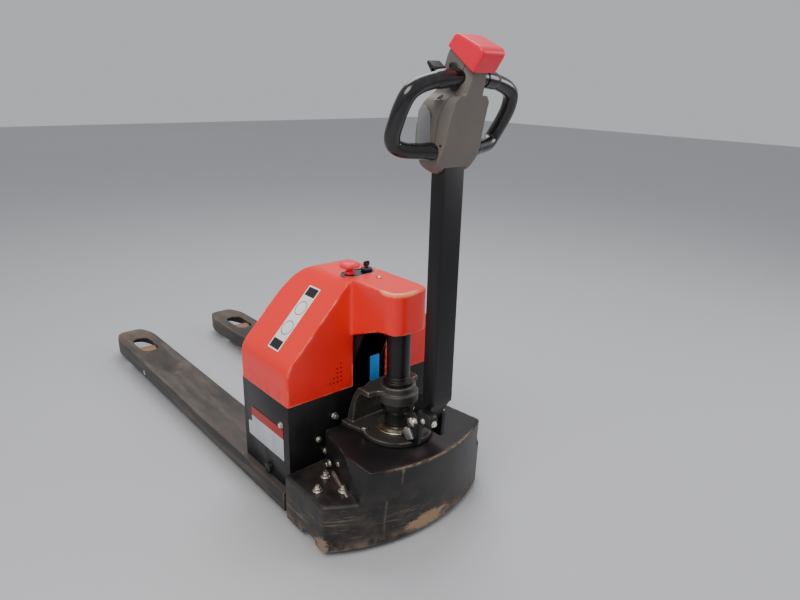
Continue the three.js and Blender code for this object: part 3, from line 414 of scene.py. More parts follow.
rubber("polyurethane", (0.24, 0.12, 0.05), 0.55)
plastic("plate_white", (0.8, 0.79, 0.76), 0.4, soil=0.2, soil_colour=(0.42, 0.38, 0.33))
side_plate()
plastic("plate_blue", (0.012, 0.26, 0.72), 0.45, soil=0.12, soil_colour=(0.02, 0.1, 0.25))
for finished in LOOKS.values():
    finished.done()

# ---- mesh helpers
def mesh_of(work):
    bmesh.ops.recalc_face_normals(work, faces=work.faces)
    mesh = bpy.data.meshes.new("shape")
    work.to_mesh(mesh)
    work.free()
    return mesh


def rounded(before, here, after, reach, steps):
    """A run of points round a corner, from reach before it to reach after it."""
    start = here + (before - here).normalized() * reach
    end = here + (after - here).normalized() * reach
    shares = [step / steps for step in range(steps + 1)]
    return [start * (1 - share) ** 2 + here * 2 * share * (1 - share) + end * share ** 2 for share in shares]


def outline(points, setback=0.0, steps=6):
    """A closed outline with softened corners; a point may carry its own corner setback."""
    turns = [Vector(point[:2]) for point in points]
    made = []
    for index, here in enumerate(turns):
        before = turns[index - 1]
        after = turns[(index + 1) % len(turns)]
        room = 0.48 * min((here - before).length, (here - after).length)
        reach = min(points[index][2] if len(points[index]) > 2 else setback, room)
        made.extend(rounded(before, here, after, reach, steps) if reach > 0 else [here])
    return made


def softened(profile, setback, steps=3):
    """An open lathe profile with its inner corners rounded."""
    points = [Vector(point) for point in profile]
    made = [points[0]]
    for before, here, after in zip(points, points[1:], points[2:]):
        reach = min(setback, 0.48 * (here - before).length, 0.48 * (here - after).length)
        made.extend(rounded(before, here, after, reach, steps))
    return [*made, points[-1]]


def from_level(level, *points):
    """Outline or profile points with their second number counted from a level."""
    return [(point[0], level + point[1], *point[2:]) for point in points]


def corners(x0, x1, y0, y1):
    return [(x0, y0), (x1, y0), (x1, y1), (x0, y1)]


def placed(axis, first, second, along):
    """A point from two places across an axis and one along it."""
    return {"x": (along, first, second), "y": (first, along, second), "z": (first, second, along)}[axis]


def skin_over(work, rings, closed=False):
    """Faces from each ring of points to the next; a ring may be a single point."""
    around = max(len(ring) for ring in rings)
    pairs = [*zip(rings, rings[1:]), *([(rings[-1], rings[0])] if closed else [])]
    for one, two in pairs:
        for step in range(around):
            places = (one, step), (one, step + 1), (two, step + 1), (two, step)
            unique = list(dict.fromkeys(ring[place % len(ring)] for ring, place in places))
            if len(unique) > 2:
                work.faces.new(unique)


def prism(points, axis, low, high):
    """The outline lies in (y, z) for x, (x, z) for y and (x, y) for z."""
    work = bmesh.new()
    rings = [[work.verts.new(placed(axis, *point[:2], level)) for point in points] for level in (low, high)]
    for ring in rings:
        work.faces.new(ring)
    skin_over(work, rings)
    return mesh_of(work)


def block(x0, x1, y0, y1, z0, z1):
    return prism(corners(x0, x1, y0, y1), "z", z0, z1)


def slot(x, y, reach_x, reach_y, radius, low, high):
    """An upright slot with round ends; one of its reaches is 0."""
    points = []
    for step in range(48):
        across, ahead = math.cos(TAU * step / 48), math.sin(TAU * step / 48)
        points.append((x + (reach_x if across > 0 else -reach_x) + radius * across,
                       y + (reach_y if ahead > 0 else -reach_y) + radius * ahead))
    return prism(points, "z", low, high)


def lathe(profile, axis, at, around=56, closed=False):
    """Turned shape; profile holds (radius, along) pairs and is closed for a ring."""
    work = bmesh.new()
    rings = []
    for radius, along in profile:
        turns = [TAU * step / around for step in range(around if radius >= 1e-6 else 1)]
        places = [(at[0] + radius * math.cos(turn), at[1] + radius * math.sin(turn)) for turn in turns]
        rings.append([work.verts.new(placed(axis, *place, along)) for place in places])
    skin_over(work, rings, closed)
    return mesh_of(work)


def bar(axis, radius, low, high, at, around=40, edge=0.6):
    """Round bar with its two rims rounded."""
    return lathe(softened(corners(0, radius, low, high), edge), axis, at, around)


def tube(axis, outer, inner, low, high, at, around=56, edge=0.6):
    return lathe(outline(corners(inner, outer, low, high), edge, 3), axis, at, around, closed=True)


def smooth_path(points, steps=6):
    """A Catmull-Rom curve through the points."""
    points = [Vector(point) for point in points]
    ends = [points[0] * 2 - points[1], *points, points[-1] * 2 - points[-2]]
    made = []
    for p0, p1, p2, p3 in zip(ends, ends[1:], ends[2:], ends[3:]):
        for step in range(steps):
            t = step / steps
            made.append(0.5 * (2 * p1 + (p2 - p0) * t + (2 * p0 - 5 * p1 + 4 * p2 - p3) * t ** 2
                               + (3 * p1 - p0 - 3 * p2 + p3) * t ** 3))
    return [*made, points[-1]]


def sweep(path, sizes, around):
    """A round tube along a path, with a radius at each point and closed ends."""
    work = bmesh.new()
    rings = []
    side = None
    turns = [TAU * step / around for step in range(around)]
    for index, here in enumerate(path):
        before = path[max(index - 1, 0)]
        after = path[min(index + 1, len(path) - 1)]
        ahead = (after - before).normalized()
        guess = side if side is not None else ahead.orthogonal()
        side = (guess - ahead * guess.dot(ahead)).normalized()
        other = ahead.cross(side)
        rings.append([work.verts.new(here + sizes[index] * (side * math.cos(turn) + other * math.sin(turn)))
                      for turn in turns])
    work.faces.new(rings[0])
    work.faces.new(rings[-1])
    skin_over(work, rings)
    return mesh_of(work)


def modified(mesh, *steps):
    """The mesh after a run of modifiers, each given as a kind and its settings."""
    scratch = in_scene("scratch", mesh)
    for kind, settings in steps:
        modifier = scratch.modifiers.new(kind, kind)
        for key, setting in settings.items():
            setattr(modifier, key, setting)
    graph = bpy.context.evaluated_depsgraph_get()
    final = bpy.data.meshes.new_from_object(scratch.evaluated_get(graph), depsgraph=graph)
    bpy.data.objects.remove(scratch)
    return final


def boolean(operation):
    def made(mesh, *tools):
        helpers = [in_scene("scratch", tool) for tool in tools]
        settings = {"operation": operation, "solver": "EXACT"}
        final = modified(mesh, *[("BOOLEAN", {**settings, "object": helper}) for helper in helpers])
        for helper in helpers:
            bpy.data.objects.remove(helper)
        return final

    return made


fused = boolean("UNION")
cut = boolean("DIFFERENCE")
common = boolean("INTERSECT")


def moulded(mesh, voxel, passes):
    """The shape as a moulding or casting: every edge and corner runs into the next through a fillet."""
    return modified(
        mesh,
        ("REMESH", {"mode": "VOXEL", "voxel_size": voxel}),
        ("SMOOTH", {"factor": 0.5, "iterations": passes}),
    )


def bevelled(mesh, width, segments=3, degrees=32):
    work = bmesh.new()
    work.from_mesh(mesh)
    bmesh.ops.remove_doubles(work, verts=work.verts, dist=1e-3)
    bmesh.ops.dissolve_limit(work, angle_limit=math.radians(1.5), verts=work.verts, edges=work.edges)
    return modified(mesh_of(work), ("BEVEL", {
        "width": width, "segments": segments, "limit_method": "ANGLE",
        "angle_limit": math.radians(degrees), "use_clamp_overlap": True,
    }))


def together(*meshes):
    """Several meshes as one, with no boolean."""
    work = bmesh.new()
    for mesh in meshes:
        work.from_mesh(mesh)
    made = bpy.data.meshes.new("together")
    work.to_mesh(made)
    work.free()
    return made


def span(side, near, far):
    """The low and high X of a stretch on the left (side -1) or right (side 1)."""
    return sorted((side * near, side * far))


def shaped_piece(name, mesh, look, body, replaced=(), sharp=38):
    """A piece from build millimetres that rides on a body."""
    mesh.transform(PLACE)
    mesh.shade_smooth()
    mesh.set_sharp_from_angle(angle=math.radians(sharp))
    mesh.materials.clear()
    mesh.materials.append(LOOKS[look].material)
    piece = in_scene(name, mesh)
    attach(piece, body)
    if replaced:
        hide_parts(*replaced)


def stand_in(node, mesh, look, sharp=38):
    """The piece that stands for a CAD node."""
    shaped_piece(f"{node}_shape", mesh, look, frame["nodes"][node]["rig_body"], [node], sharp)


def refine(node, look, width=1.0, segments=2):
    """A copy of a CAD node with its flat faces joined and its edges rounded, standing for the node."""
    source = frame["nodes"][node].data.copy()
    source.transform(PLACE.inverted())
    stand_in(node, bevelled(source, width, segments), look, sharp=40)


# ---- battery box and hood
BOX_HALF = 260
BOX_FRONT = -240
BOX_TOP = 335
HOOD_FRONT = BOX_FRONT - 2
HOOD_SHOULDER = 432
HOOD_TOP = 640
RIDGE_HALF = 62
NOSE_HALF = 60
NOSE_FRONT = -415
NOSE_BEND = -355
NOSE_BOTTOM = 530
NOSE_CHEEK = 484
SHEET = 4
PANEL_X = -10
PANEL_Y = -200
PANEL_LONG = 50
PANEL_WIDE = 27
ESTOP_X = -36
KEY_X = 20
SCREW = (8, -271)
PLATE_LONG = 98
PLATE_WIDE = 26
PLATE_Y = -137
PLATE_SHARE = 0.46
PLATE_LIFT = 0.7
FAR = 400


def hood_body(inset, low):
    half = BOX_HALF + 1 - inset
    front = HOOD_FRONT + inset
    top = HOOD_TOP - inset
    shoulder = HOOD_SHOULDER - 0.4 * inset
    ridge = RIDGE_HALF - 0.4 * inset
    section = outline([
        (-half, low), (half, low), (half, shoulder, 26), (ridge, top, 24), (-ridge, top, 24),
        (-half, shoulder, 26),
    ], steps=10)
    side = outline([(front, low), (-inset, low), (-inset, top, 105), (front, top, 8)], steps=20)
    return common(prism(section, "y", front, -inset), prism(side, "x", -half - 1, half + 1))


def nose_body(inset):
    half = NOSE_HALF - inset
    front = NOSE_FRONT + inset
    top = HOOD_TOP - inset
    corner = 44
    drop = 10 if inset else 0
    root = BOX_FRONT + 30
    plan = outline([(half, root), (-half, root), (-half, front, corner), (half, front, corner)], steps=14)
    side = outline([
        (root, NOSE_CHEEK - drop - 16), (root, top), (front - 1, top), (front - 1, NOSE_BOTTOM - drop),
        (NOSE_BEND, NOSE_BOTTOM - drop, 20), (BOX_FRONT, NOSE_CHEEK - drop, 4),
    ])
    return common(prism(plan, "z", NOSE_CHEEK - 40, top), prism(side, "x", -80, 80))


def panel_oval(grow, low, high):
    return slot(PANEL_X, PANEL_Y, PANEL_LONG - PANEL_WIDE, 0, PANEL_WIDE + grow, low, high)


def build_vent_shade_discs():
    """Four rows of flat dark discs, painted shade in place of open round vents; the rows shorten away from
    the column, low on the left of the hood's front.
    """
    holes = []
    for row, count in enumerate((5, 4, 2, 1)):
        for place in range(count):
            at = (-96 - 12 * row, 365 + 12.5 * place)
            # Each disc sits flush on the face as painted shade where a vent hole would be
            holes.append(bar("y", 2.3, HOOD_FRONT - 0.4, HOOD_FRONT + 1, at, 14, 0.1))
    shaped_piece("hood_vent_shade_discs", together(*holes), "dark_plastic", "frame")


def build_hood():
    low = BOX_TOP - 25
    skin = moulded(fused(hood_body(0, low), nose_body(0)), 3.5, 9)
    edge = BOX_TOP + 0.3
    hollow = fused(hood_body(SHEET, low - 20), nose_body(SHEET))
    opening = prism(outline([
        (-57, low - 30), (57, low - 30), (57, NOSE_CHEEK, 16), (-57, NOSE_CHEEK, 16),
    ]), "y", BOX_FRONT - 12, BOX_FRONT + 12)
    shell = cut(
        skin, block(-FAR, FAR, -600, 100, low - 60, edge), hollow, opening,
        panel_oval(1.5, HOOD_TOP - 3, HOOD_TOP + 5), panel_oval(-4, HOOD_TOP - 20, HOOD_TOP),
        bar("z", 4, HOOD_TOP - 20, HOOD_TOP + 4, SCREW),
    )
    stand_in("hood", shell, "red_shell", sharp=34)


def build_controls():
    stop_at, key_at = (ESTOP_X, PANEL_Y), (KEY_X, PANEL_Y)
    holes = [bar("z", radius, HOOD_TOP - 20, HOOD_TOP + 4, at) for radius, at in ((9, stop_at), (11, key_at))]
    plate = cut(panel_oval(0.6, HOOD_TOP - 2.7, HOOD_TOP - 0.6), *holes)
    stand_in("control_panel", bevelled(plate, 0.4, 2), "black_gloss")
    rim = cut(panel_oval(0.6, HOOD_TOP - 0.7, HOOD_TOP + 0.3), panel_oval(-1.6, HOOD_TOP - 5, HOOD_TOP + 5))
    shaped_piece("panel_rim", rim, "grey_panel", "frame")
    collar = tube("z", 14, 8, HOOD_TOP, HOOD_TOP + 8, stop_at, edge=2)
    stand_in("estop_collar", collar, "red_cap")
    mushroom = lathe(softened(from_level(
        HOOD_TOP, (0, -18), (7.4, -18), (7.4, 14), (13, 14.2), (14, 18), (25.5, 20), (27, 23), (26.5, 28),
        (19, 33.4), (8, 34), (0, 33.6),
    ), 4, 4), "z", stop_at)
    stand_in("estop_button", mushroom, "red_cap")
    switch = lathe(softened(from_level(
        HOOD_TOP, (4, -4), (4, 7), (10, 9), (15, 7), (15, 0), (10.4, 0), (10.4, -14), (0, -14), (0, -4),
    ), 1.2), "z", key_at)
    stand_in("key_switch", switch, "dark_plastic")
    bow = prism(outline(from_level(
        HOOD_TOP, (KEY_X - 3, 10), (KEY_X + 3, 10), (KEY_X + 10, 15, 5), (KEY_X + 9.6, 26.5, 7),
        (KEY_X - 9.6, 26.5, 7), (KEY_X - 10, 15, 5),
    )), "y", PANEL_Y - 2, PANEL_Y + 2)
    key = together(bevelled(bow, 0.9, 3), bar("z", 3.5, HOOD_TOP - 2, HOOD_TOP + 12, key_at))
    stand_in("key", key, "black_gloss")
    screw = lathe(softened(from_level(
        HOOD_TOP, (0, -18), (3.2, -18), (3.2, 0.3), (8.5, 0.3), (8.5, 1.6), (6.5, 4.2), (3, 4.4), (2.6, 2.6),
        (0, 2.6),
    ), 0.5), "z", SCREW, 32)
    stand_in("hood_screw", screw, "brass")


def rounded_block(x0, x1, half, corner, low, high):
    return prism(outline(corners(x0, x1, -half, half), corner), "z", low, high)


def build_side_plate():
    x = -BOX_HALF - 0.3
    film = prism(outline([
        (-213, 166, 3), (-24, 166, 3), (-24, 208), (-44, 212, 3), (-44, 260, 3), (-213, 260, 3),
    ]), "x", x - 0.8, x)
    stand_in("side_plate", bevelled(film, 0.2, 2), "side_plate")


def build_slope_plate():
    """A pale plate on the hood's slope: two dark end blocks and two thin plain rings."""
    run, rise = BOX_HALF + 1 - RIDGE_HALF, HOOD_TOP - HOOD_SHOULDER
    slope = math.atan2(rise, run)
    centre = Vector((
        -BOX_HALF - 1 + PLATE_SHARE * run - PLATE_LIFT * math.sin(slope),
        PLATE_Y,
        HOOD_SHOULDER + PLATE_SHARE * rise + PLATE_LIFT * math.cos(slope),
    ))
    lay = Matrix.Translation(centre) @ Matrix.Rotation(-slope, 4, "Y")
    plate = bevelled(rounded_block(-PLATE_LONG, PLATE_LONG, PLATE_WIDE, 3, -0.4, 0.4), 0.2, 2)
    plate.transform(lay)
    stand_in("slope_plate", plate, "plate_white")
    marks = []
    for side in (-1, 1):
        low, high = span(side, PLATE_LONG - 30, PLATE_LONG - 4)
        marks.append(rounded_block(low, high, PLATE_WIDE - 4, 2, 0.35, 0.55))
        marks.append(tube("z", 21, 19, 0.35, 0.55, (side * 31, 0), 48, 0.05))
    marks = together(*marks)
    marks.transform(lay)
    shaped_piece("slope_plate_marks", marks, "dark_plastic", "frame")


# ---- bolts
def hex_head(axis, at, base, tip, across, washer=0.0):
    """A hexagon head with its corners turned off, standing from base to tip, with an optional washer."""
    sign = math.copysign(1, tip - base)
    under = base + sign * (1.8 if washer else 0.0)
    turns = [TAU * step / 6 for step in range(6)]
    points = [(at[0] + across * math.cos(turn), at[1] + across * math.sin(turn)) for turn in turns]
    head = prism(points, axis, min(under, tip), max(under, tip))
    rim = across * 1.02
    profile = [(0, under), (rim, under), (rim, tip - sign * 1.6), (across * 0.84, tip), (0, tip)]
    head = bevelled(common(head, lathe(profile, axis, at, 32)), 0.35, 2)
    if not washer:
        return head
    return together(head, bar(axis, washer, min(base, under), max(base, under), at, 32, 0.4))


def front_bolt(at, long, across, washer):
    return hex_head("y", at, BOX_FRONT - 0.3, BOX_FRONT - long, across, washer)


def build_box_bolts():
    for label, side in SIDES:
        base = side * (BOX_HALF + 0.3)
        stand_in(f"side_bolt_{label}", hex_head("x", (-205, 272), base, base + side * 6.7, 7.5, 9), "zinc")
    stand_in("front_bolt_upper", front_bolt((-118, 265), 12, 8, 10), "zinc")
    stand_in("front_bolt_lower", front_bolt((-170, 212), 8, 7, 9), "zinc")
    shaped_piece("front_bolt_low_shape", front_bolt((-147, 168), 9, 8, 10), "zinc", "frame")


# ---- drive base cover
COVER_HALF = 280
COVER_BACK = -250
CASTER_BOLTS = ((250, -354), (201, -394), (201, -316)), ((250, -354), (228, -394), (228, -316))
COVER_CORNER = -420
COVER_APEX = -505
COVER_BOTTOM = 20
SHELF_TOP = 150
COVER_TOP = 238
COVER_SHEET = 5
COVER_LEAN = 0.235
BEVEL_X = 238
BEVEL_Y = -398
STEER_Y = -363
CRANK_PIN = (-292, 132)
SAGITTA = COVER_CORNER - COVER_APEX
ARC_RADIUS = (COVER_HALF ** 2 + SAGITTA ** 2) / (2 * SAGITTA)
ARC_CENTRE = COVER_APEX + ARC_RADIUS


def front_face(x, inset=0.0):
    """Y of the bumper's curved front at a place across it."""
    return ARC_CENTRE - math.sqrt((ARC_RADIUS - inset) ** 2 - x ** 2)


def cover_plan(inset, back):
    """The front is an arc from the left corner to a bevel across the right one."""
    reach = COVER_HALF - inset
    last = BEVEL_X - 0.9 * inset
    steps = 56
    across = [-reach + (last + reach) * step / steps for step in range(steps + 1)]
    front = [(x, front_face(x, inset)) for x in across]
    return [(reach, back), (-reach, back), *front, (reach, BEVEL_Y + 0.5 * inset)]


def raised_body(inset, back, top, low):
    ahead = COVER_APEX - 5
    plan = prism([
        (-150 + inset, back), (186 - inset, back), (222 - inset, ahead), (-216 + inset, ahead),
    ], "z", low, top)
    taper = prism([
        (-212 + inset, low), (222 - inset, low), (216 - inset, top), (-184 + inset, top),
        (-206 + inset, SHELF_TOP),
    ], "y", ahead, back)
    return common(plan, taper, prism(cover_plan(inset, back), "z", low, top))


def leaned(mesh):
    """The bumper's front leans out towards its top, most at the middle and not at all at the corners."""
    for vertex in mesh.vertices:
        ahead = min(0.0, vertex.co.y - COVER_CORNER)
        vertex.co.y += ahead * COVER_LEAN * (vertex.co.z - COVER_BOTTOM) / (COVER_TOP - COVER_BOTTOM)
    return mesh


def seam(points, radius=1.2):
    """A thin weld bead through the given points."""
    path = smooth_path(points)
    return sweep(path, [radius] * len(path), 8)


def build_cover():
    low = COVER_BOTTOM - 20
    skirt = prism(cover_plan(0, COVER_BACK + 15), "z", low, SHELF_TOP)
    raised = raised_body(0, COVER_BACK + 15, COVER_TOP, low)
    skin = moulded(fused(skirt, raised), 3.6, 7)
    inside = fused(
        prism(cover_plan(COVER_SHEET, COVER_BACK + 30), "z", low - 5, SHELF_TOP - COVER_SHEET),
        raised_body(COVER_SHEET, COVER_BACK + 30, COVER_TOP - COVER_SHEET, low - 5),
    )
    shell = cut(
        skin, inside, block(-FAR, FAR, -700, 200, low - 10, COVER_BOTTOM),
        block(-FAR, FAR, -385, -325, low, COVER_BOTTOM + 16),
        block(-FAR, FAR, COVER_BACK, 200, low - 10, 400),
        bar("z", 40, COVER_TOP - 30, COVER_TOP + 10, (0, STEER_Y)),
    )
    extras = []
    for side in (-1, 1):
        top = SHELF_TOP - 1 if side < 0 else COVER_TOP - 3
        extras.append(block(*span(side, 168, 176), -318, -262, 112, top))
        extras.append(bar("x", 7, *span(side, 117, 172), CRANK_PIN))
    ridge = prism(from_level(SHELF_TOP, (-322, -1), (-322, 13), (-330, 14), (-432, -1)), "x", -4, 4)
    ridge.transform(Matrix.Translation((-182, -322, 0)) @ Matrix.Rotation(math.radians(-14), 4, "Z")
                    @ Matrix.Translation((0, 322, 0)))
    shaped_piece("cover_ridge", bevelled(ridge, 1.5, 2), "worn_steel", "base")
    for run in (
        ((-142, 30), (-142, 80), (-141, 120), (-140, SHELF_TOP - 3)),
        ((-104, 176), (-104, 195), (-104, 214), (-103, COVER_TOP - 7)),
    ):
        extras.append(seam([(x, front_face(x) + 0.7, z) for x, z in run]))
    stand_in("base_cover", leaned(together(shell, *extras)), "cover_paint")
    studs = [hex_head("x", (y, z), x, x - 13, 8, 11) for x, y, z in ((-174, -296, 168), (-164, -336, 186))]
    shaped_piece("cover_bolts", together(*studs), "zinc", "base")


def build_caster_mounts():
    for (label, side), bolts in zip(SIDES, CASTER_BOLTS):
        refine(f"caster_mount_{label}", "zinc", 0.7)
        low, high = SHELF_TOP + 0.05, SHELF_TOP + 2
        rings = [tube("z", 12.5, 6.3, low, high, (side * x, y), 32, 0.5) for x, y in bolts]
        shaped_piece(f"shelf_washers_{label}", together(*rings), "zinc", "base")


# ---- column
SADDLE = 366
EAR_TOP = 349
COLLAR_TOP = 378
BARREL_RADIUS = 31
ROD_RADIUS = 20
ROD_HOLE = 20.6
BARREL_TOP = 556
AXIS = (0, STEER_Y)


def build_casting():
    base = COVER_TOP + 0.3
    flange_top = base + 14
    back = COVER_BACK - 2
    foot = outline([(-102, back), (-102, -278, 8), (-88, -330), (88, -330), (102, -278, 8), (102, back)])
    web = outline([
        (back, base + 2), (-262, 282, 16), (-277, 324, 16), (-302, SADDLE, 10), (-347, SADDLE, 6),
        (-347, EAR_TOP + 4), (-312, EAR_TOP + 3, 26), (-290, 318, 30), (-279, base + 2, 20),
    ], steps=10)
    apron = outline([
        (-276, base + 2), (-288, 314, 30), (-309, SADDLE - 11, 22), (-334, SADDLE - 8), (-334, SADDLE - 1),
        (-301, SADDLE - 1, 20), (-280, 318, 30), (-268, base + 2),
    ], steps=8)
    parts = [
        lathe(corners(0, 96, base, flange_top), "z", AXIS, 72),
        prism(foot, "z", base, flange_top),
        prism(apron, "x", -76, 76),
        lathe([(0, 332), (54, 332), (54, 358), (47, 360), (47, COLLAR_TOP), (0, COLLAR_TOP)], "z", AXIS, 72),
    ]
    for side in (-1, 1):
        parts.append(prism(web, "x", *span(side, 72, 86)))
        wing = outline([
            (0, STEER_Y + 40), (side * 46, STEER_Y - 6), (side * 60, -350, 8), (side * 86, -347, 6),
            (side * 86, -316, 6), (side * 62, -304, 8), (side * 44, -292, 12), (0, -291),
        ])
        parts.append(prism(wing, "z", EAR_TOP + 3, SADDLE))
    body = moulded(together(*parts), 2.0, 5)
    body = cut(
        body, block(-200, 200, -600, 0, base - 30, base), block(-200, 200, back, 0, 200, 420),
        bar("z", BARREL_RADIUS + 0.5, 341, COLLAR_TOP + 5, AXIS, 64),
        bar("z", 36, base - 5, flange_top + 5, AXIS, 64),
    )
    stand_in("column_casting", body, "cast_iron")
    bolts = [hex_head("z", (side * 84, -330), flange_top - 1, flange_top + 8, 9) for side in (-1, 1)]
    shaped_piece("casting_bolts", together(*bolts), "zinc", "base")


def build_column():
    wide, slim = BARREL_RADIUS + 7, BARREL_RADIUS - 1.5
    profile = softened([
        (0, 342), (BARREL_RADIUS, 342),
        *from_level(COLLAR_TOP, (BARREL_RADIUS, 1), (wide, 2), (wide, 10), (BARREL_RADIUS, 13),
                    (BARREL_RADIUS, 21), (slim, 22), (slim, 25), (BARREL_RADIUS, 26)),
        (BARREL_RADIUS, BARREL_TOP), (ROD_HOLE, BARREL_TOP), (ROD_HOLE, 350), (0, 350),
    ], 2.2)
    stand_in("lift_barrel", lathe(profile, "z", AXIS, 72), "black_paint")
    gland = from_level(BARREL_TOP, (ROD_HOLE, 0.3), (27, 0.3), (27, 8), (24, 12), (ROD_HOLE, 12))
    stand_in("barrel_gland", lathe(outline(gland, 0.8, 3), "z", AXIS, 64, True), "zinc")
    stand_in("lift_rod", bar("z", ROD_RADIUS, 352, 587.7, AXIS, 64, 1.5), "chrome")
    ring = from_level(
        COVER_TOP + 14.6, (31, 0), (57, 0), (57, 3), (55, 4), (53, 4), (46, 8), (38, 11.4), (31, 11.4))
    stand_in("bearing_ring", lathe(outline(ring, 0.8, 3), "z", AXIS, 72, True), "ring_steel")


# ---- forks and wheels
FORK_CENTRE = 207
ROCKER_AXLE = (790, 48)
LOAD_WHEEL = (790 + math.sqrt(160 ** 2 - 8 ** 2), 40)
CASTER_WHEEL = (-350, 37.5)
DRIVE_RADIUS = 105


def fork_outline(side, inset, heel):
    outer, inner, tip = 280 - inset, 134 + inset, 1150 - inset
    return outline([
        (side * inner, heel), (side * outer, heel), (side * outer, tip - 70, 40),
        (side * (outer - 28), tip, 26), (side * (inner + 28), tip, 26), (side * inner, tip - 70, 40),
    ], steps=10)


def build_forks():
    for label, side in SIDES:
        centre = side * FORK_CENTRE
        body = bevelled(prism(fork_outline(side, 0, -240), "z", 30, 88), 5.5, 5)
        channel = cut(
            body, prism(fork_outline(side, 6, -260), "z", 20, 82), slot(centre, 965, 0, 45, 33, 60, 100),
            block(centre - 16, centre + 16, -175, -85, 60, 100),
            bar("x", 10.1, centre - 90, centre + 90, ROCKER_AXLE),
            block(centre - 80, centre + 80, -300, -236, 0, 120),
            block(centre - 80, centre + 80, -237, 1, 87.4, 100),
        )
        wall = block(centre - 60, centre + 60, -216, -210, 38, 85)
        stand_in(f"fork_{label}", together(bevelled(channel, 0.6, 1, 50), wall), "fork_paint")


def tyre(outer, inner, half, x, at, crown=3.0):
    low, high = x - half, x + half
    profile = outline([
        (inner, low), (outer - crown, low), (outer, low + 2.4 * crown), (outer, high - 2.4 * crown),
        (outer - crown, high), (inner, high),
    ], 2.0, 3)
    return lathe(profile, "x", at, 64, True)


def build_wheels():
    stand_in("drive_tyre", tyre(DRIVE_RADIUS, 84, 35, 0, (STEER_Y, DRIVE_RADIUS)), "rubber")
    for label, side in SIDES:
        stand_in(f"caster_wheel_{label}", tyre(37.5, 6.6, 15, side * 205, CASTER_WHEEL, 2.5), "rubber")
        mesh = tyre(40, 8.6, 34, side * FORK_CENTRE, LOAD_WHEEL, 1.5)
        stand_in(f"load_wheel_{label}", mesh, "polyurethane")


# ---- tiller
PIVOT = (-472, 326)
PIVOT_HOLE = 9.3
ARM_HALF = 32
ARM_FRONT = -530
ARM_BACK = -490
ARM_TOP = 975
HEAD_TILT = math.radians(35)
SEAM_Y = -568
SEAM_Z = 1163
NECK_FRONT = 31
NECK_BACK = 45
PLUG = 10
CAP_HALF = 34
CAP_TRAVEL = 6
HANDLE_RADIUS = 16.5
PADDLE_SHAFT = (-522, 1144)
BOSS_X = 45
BOSS_Y = -522


def seam_point(along, out, setback=0.0):
    """Along the seam under the cap, towards the driver, and out of the head."""
    return (SEAM_Y - along * math.cos(HEAD_TILT) - out * math.sin(HEAD_TILT),
            SEAM_Z - along * math.sin(HEAD_TILT) + out * math.cos(HEAD_TILT), setback)


def on_seam(*places):
    return [seam_point(*place) for place in places]


def build_arm():
    section = outline(corners(-ARM_HALF, ARM_HALF, ARM_FRONT, ARM_BACK), 5, 5)
    foot = prism(outline([
        (ARM_FRONT, 410), (ARM_FRONT, 392, 14), (-506, 350, 24), (-492, 326, 14), (-488, 303, 10),
        (-458, 301, 12), (-448, 326, 16), (-460, 354, 14), (ARM_BACK, 390, 14), (ARM_BACK, 410),
    ], steps=8), "x", -ARM_HALF + 2, ARM_HALF - 2)
    arm = cut(fused(prism(section, "z", 385, ARM_TOP), foot), bar("x", PIVOT_HOLE, -60, 60, PIVOT))
    stand_in("tiller_arm", bevelled(arm, 0.8, 2, 40), "black_paint")


def handle_path(side):
    points = (
        (20, -556, 1133), (60, -553, 1130), (98, -549, 1124), (130, -547, 1114), (149, -543, 1099),
        (157, -532, 1073), (157, -518, 1046), (154, -505, 1023), (146, -498, 1004), (131, -501, 993),
        (106, -508, 989), (66, -518, 987), (34, -524, 986),
    )
    return smooth_path([(side * x, y, z) for x, y, z in points])


def build_handles():
    for label, side in SIDES:
        path = handle_path(side)
        loop = sweep(path, [HANDLE_RADIUS] * len(path), 32)
        upper = sweep(path[4:11], [18.4, 18.6, 18.6, 18.6, 18.6, 18.2, 16.8], 32)
        lower = sweep(path[-9:-4], [16.8, 18.0, 18.4, 18.4, 18.2], 32)
        stand_in(f"handle_{label}", together(loop, upper, lower), "black_gloss")


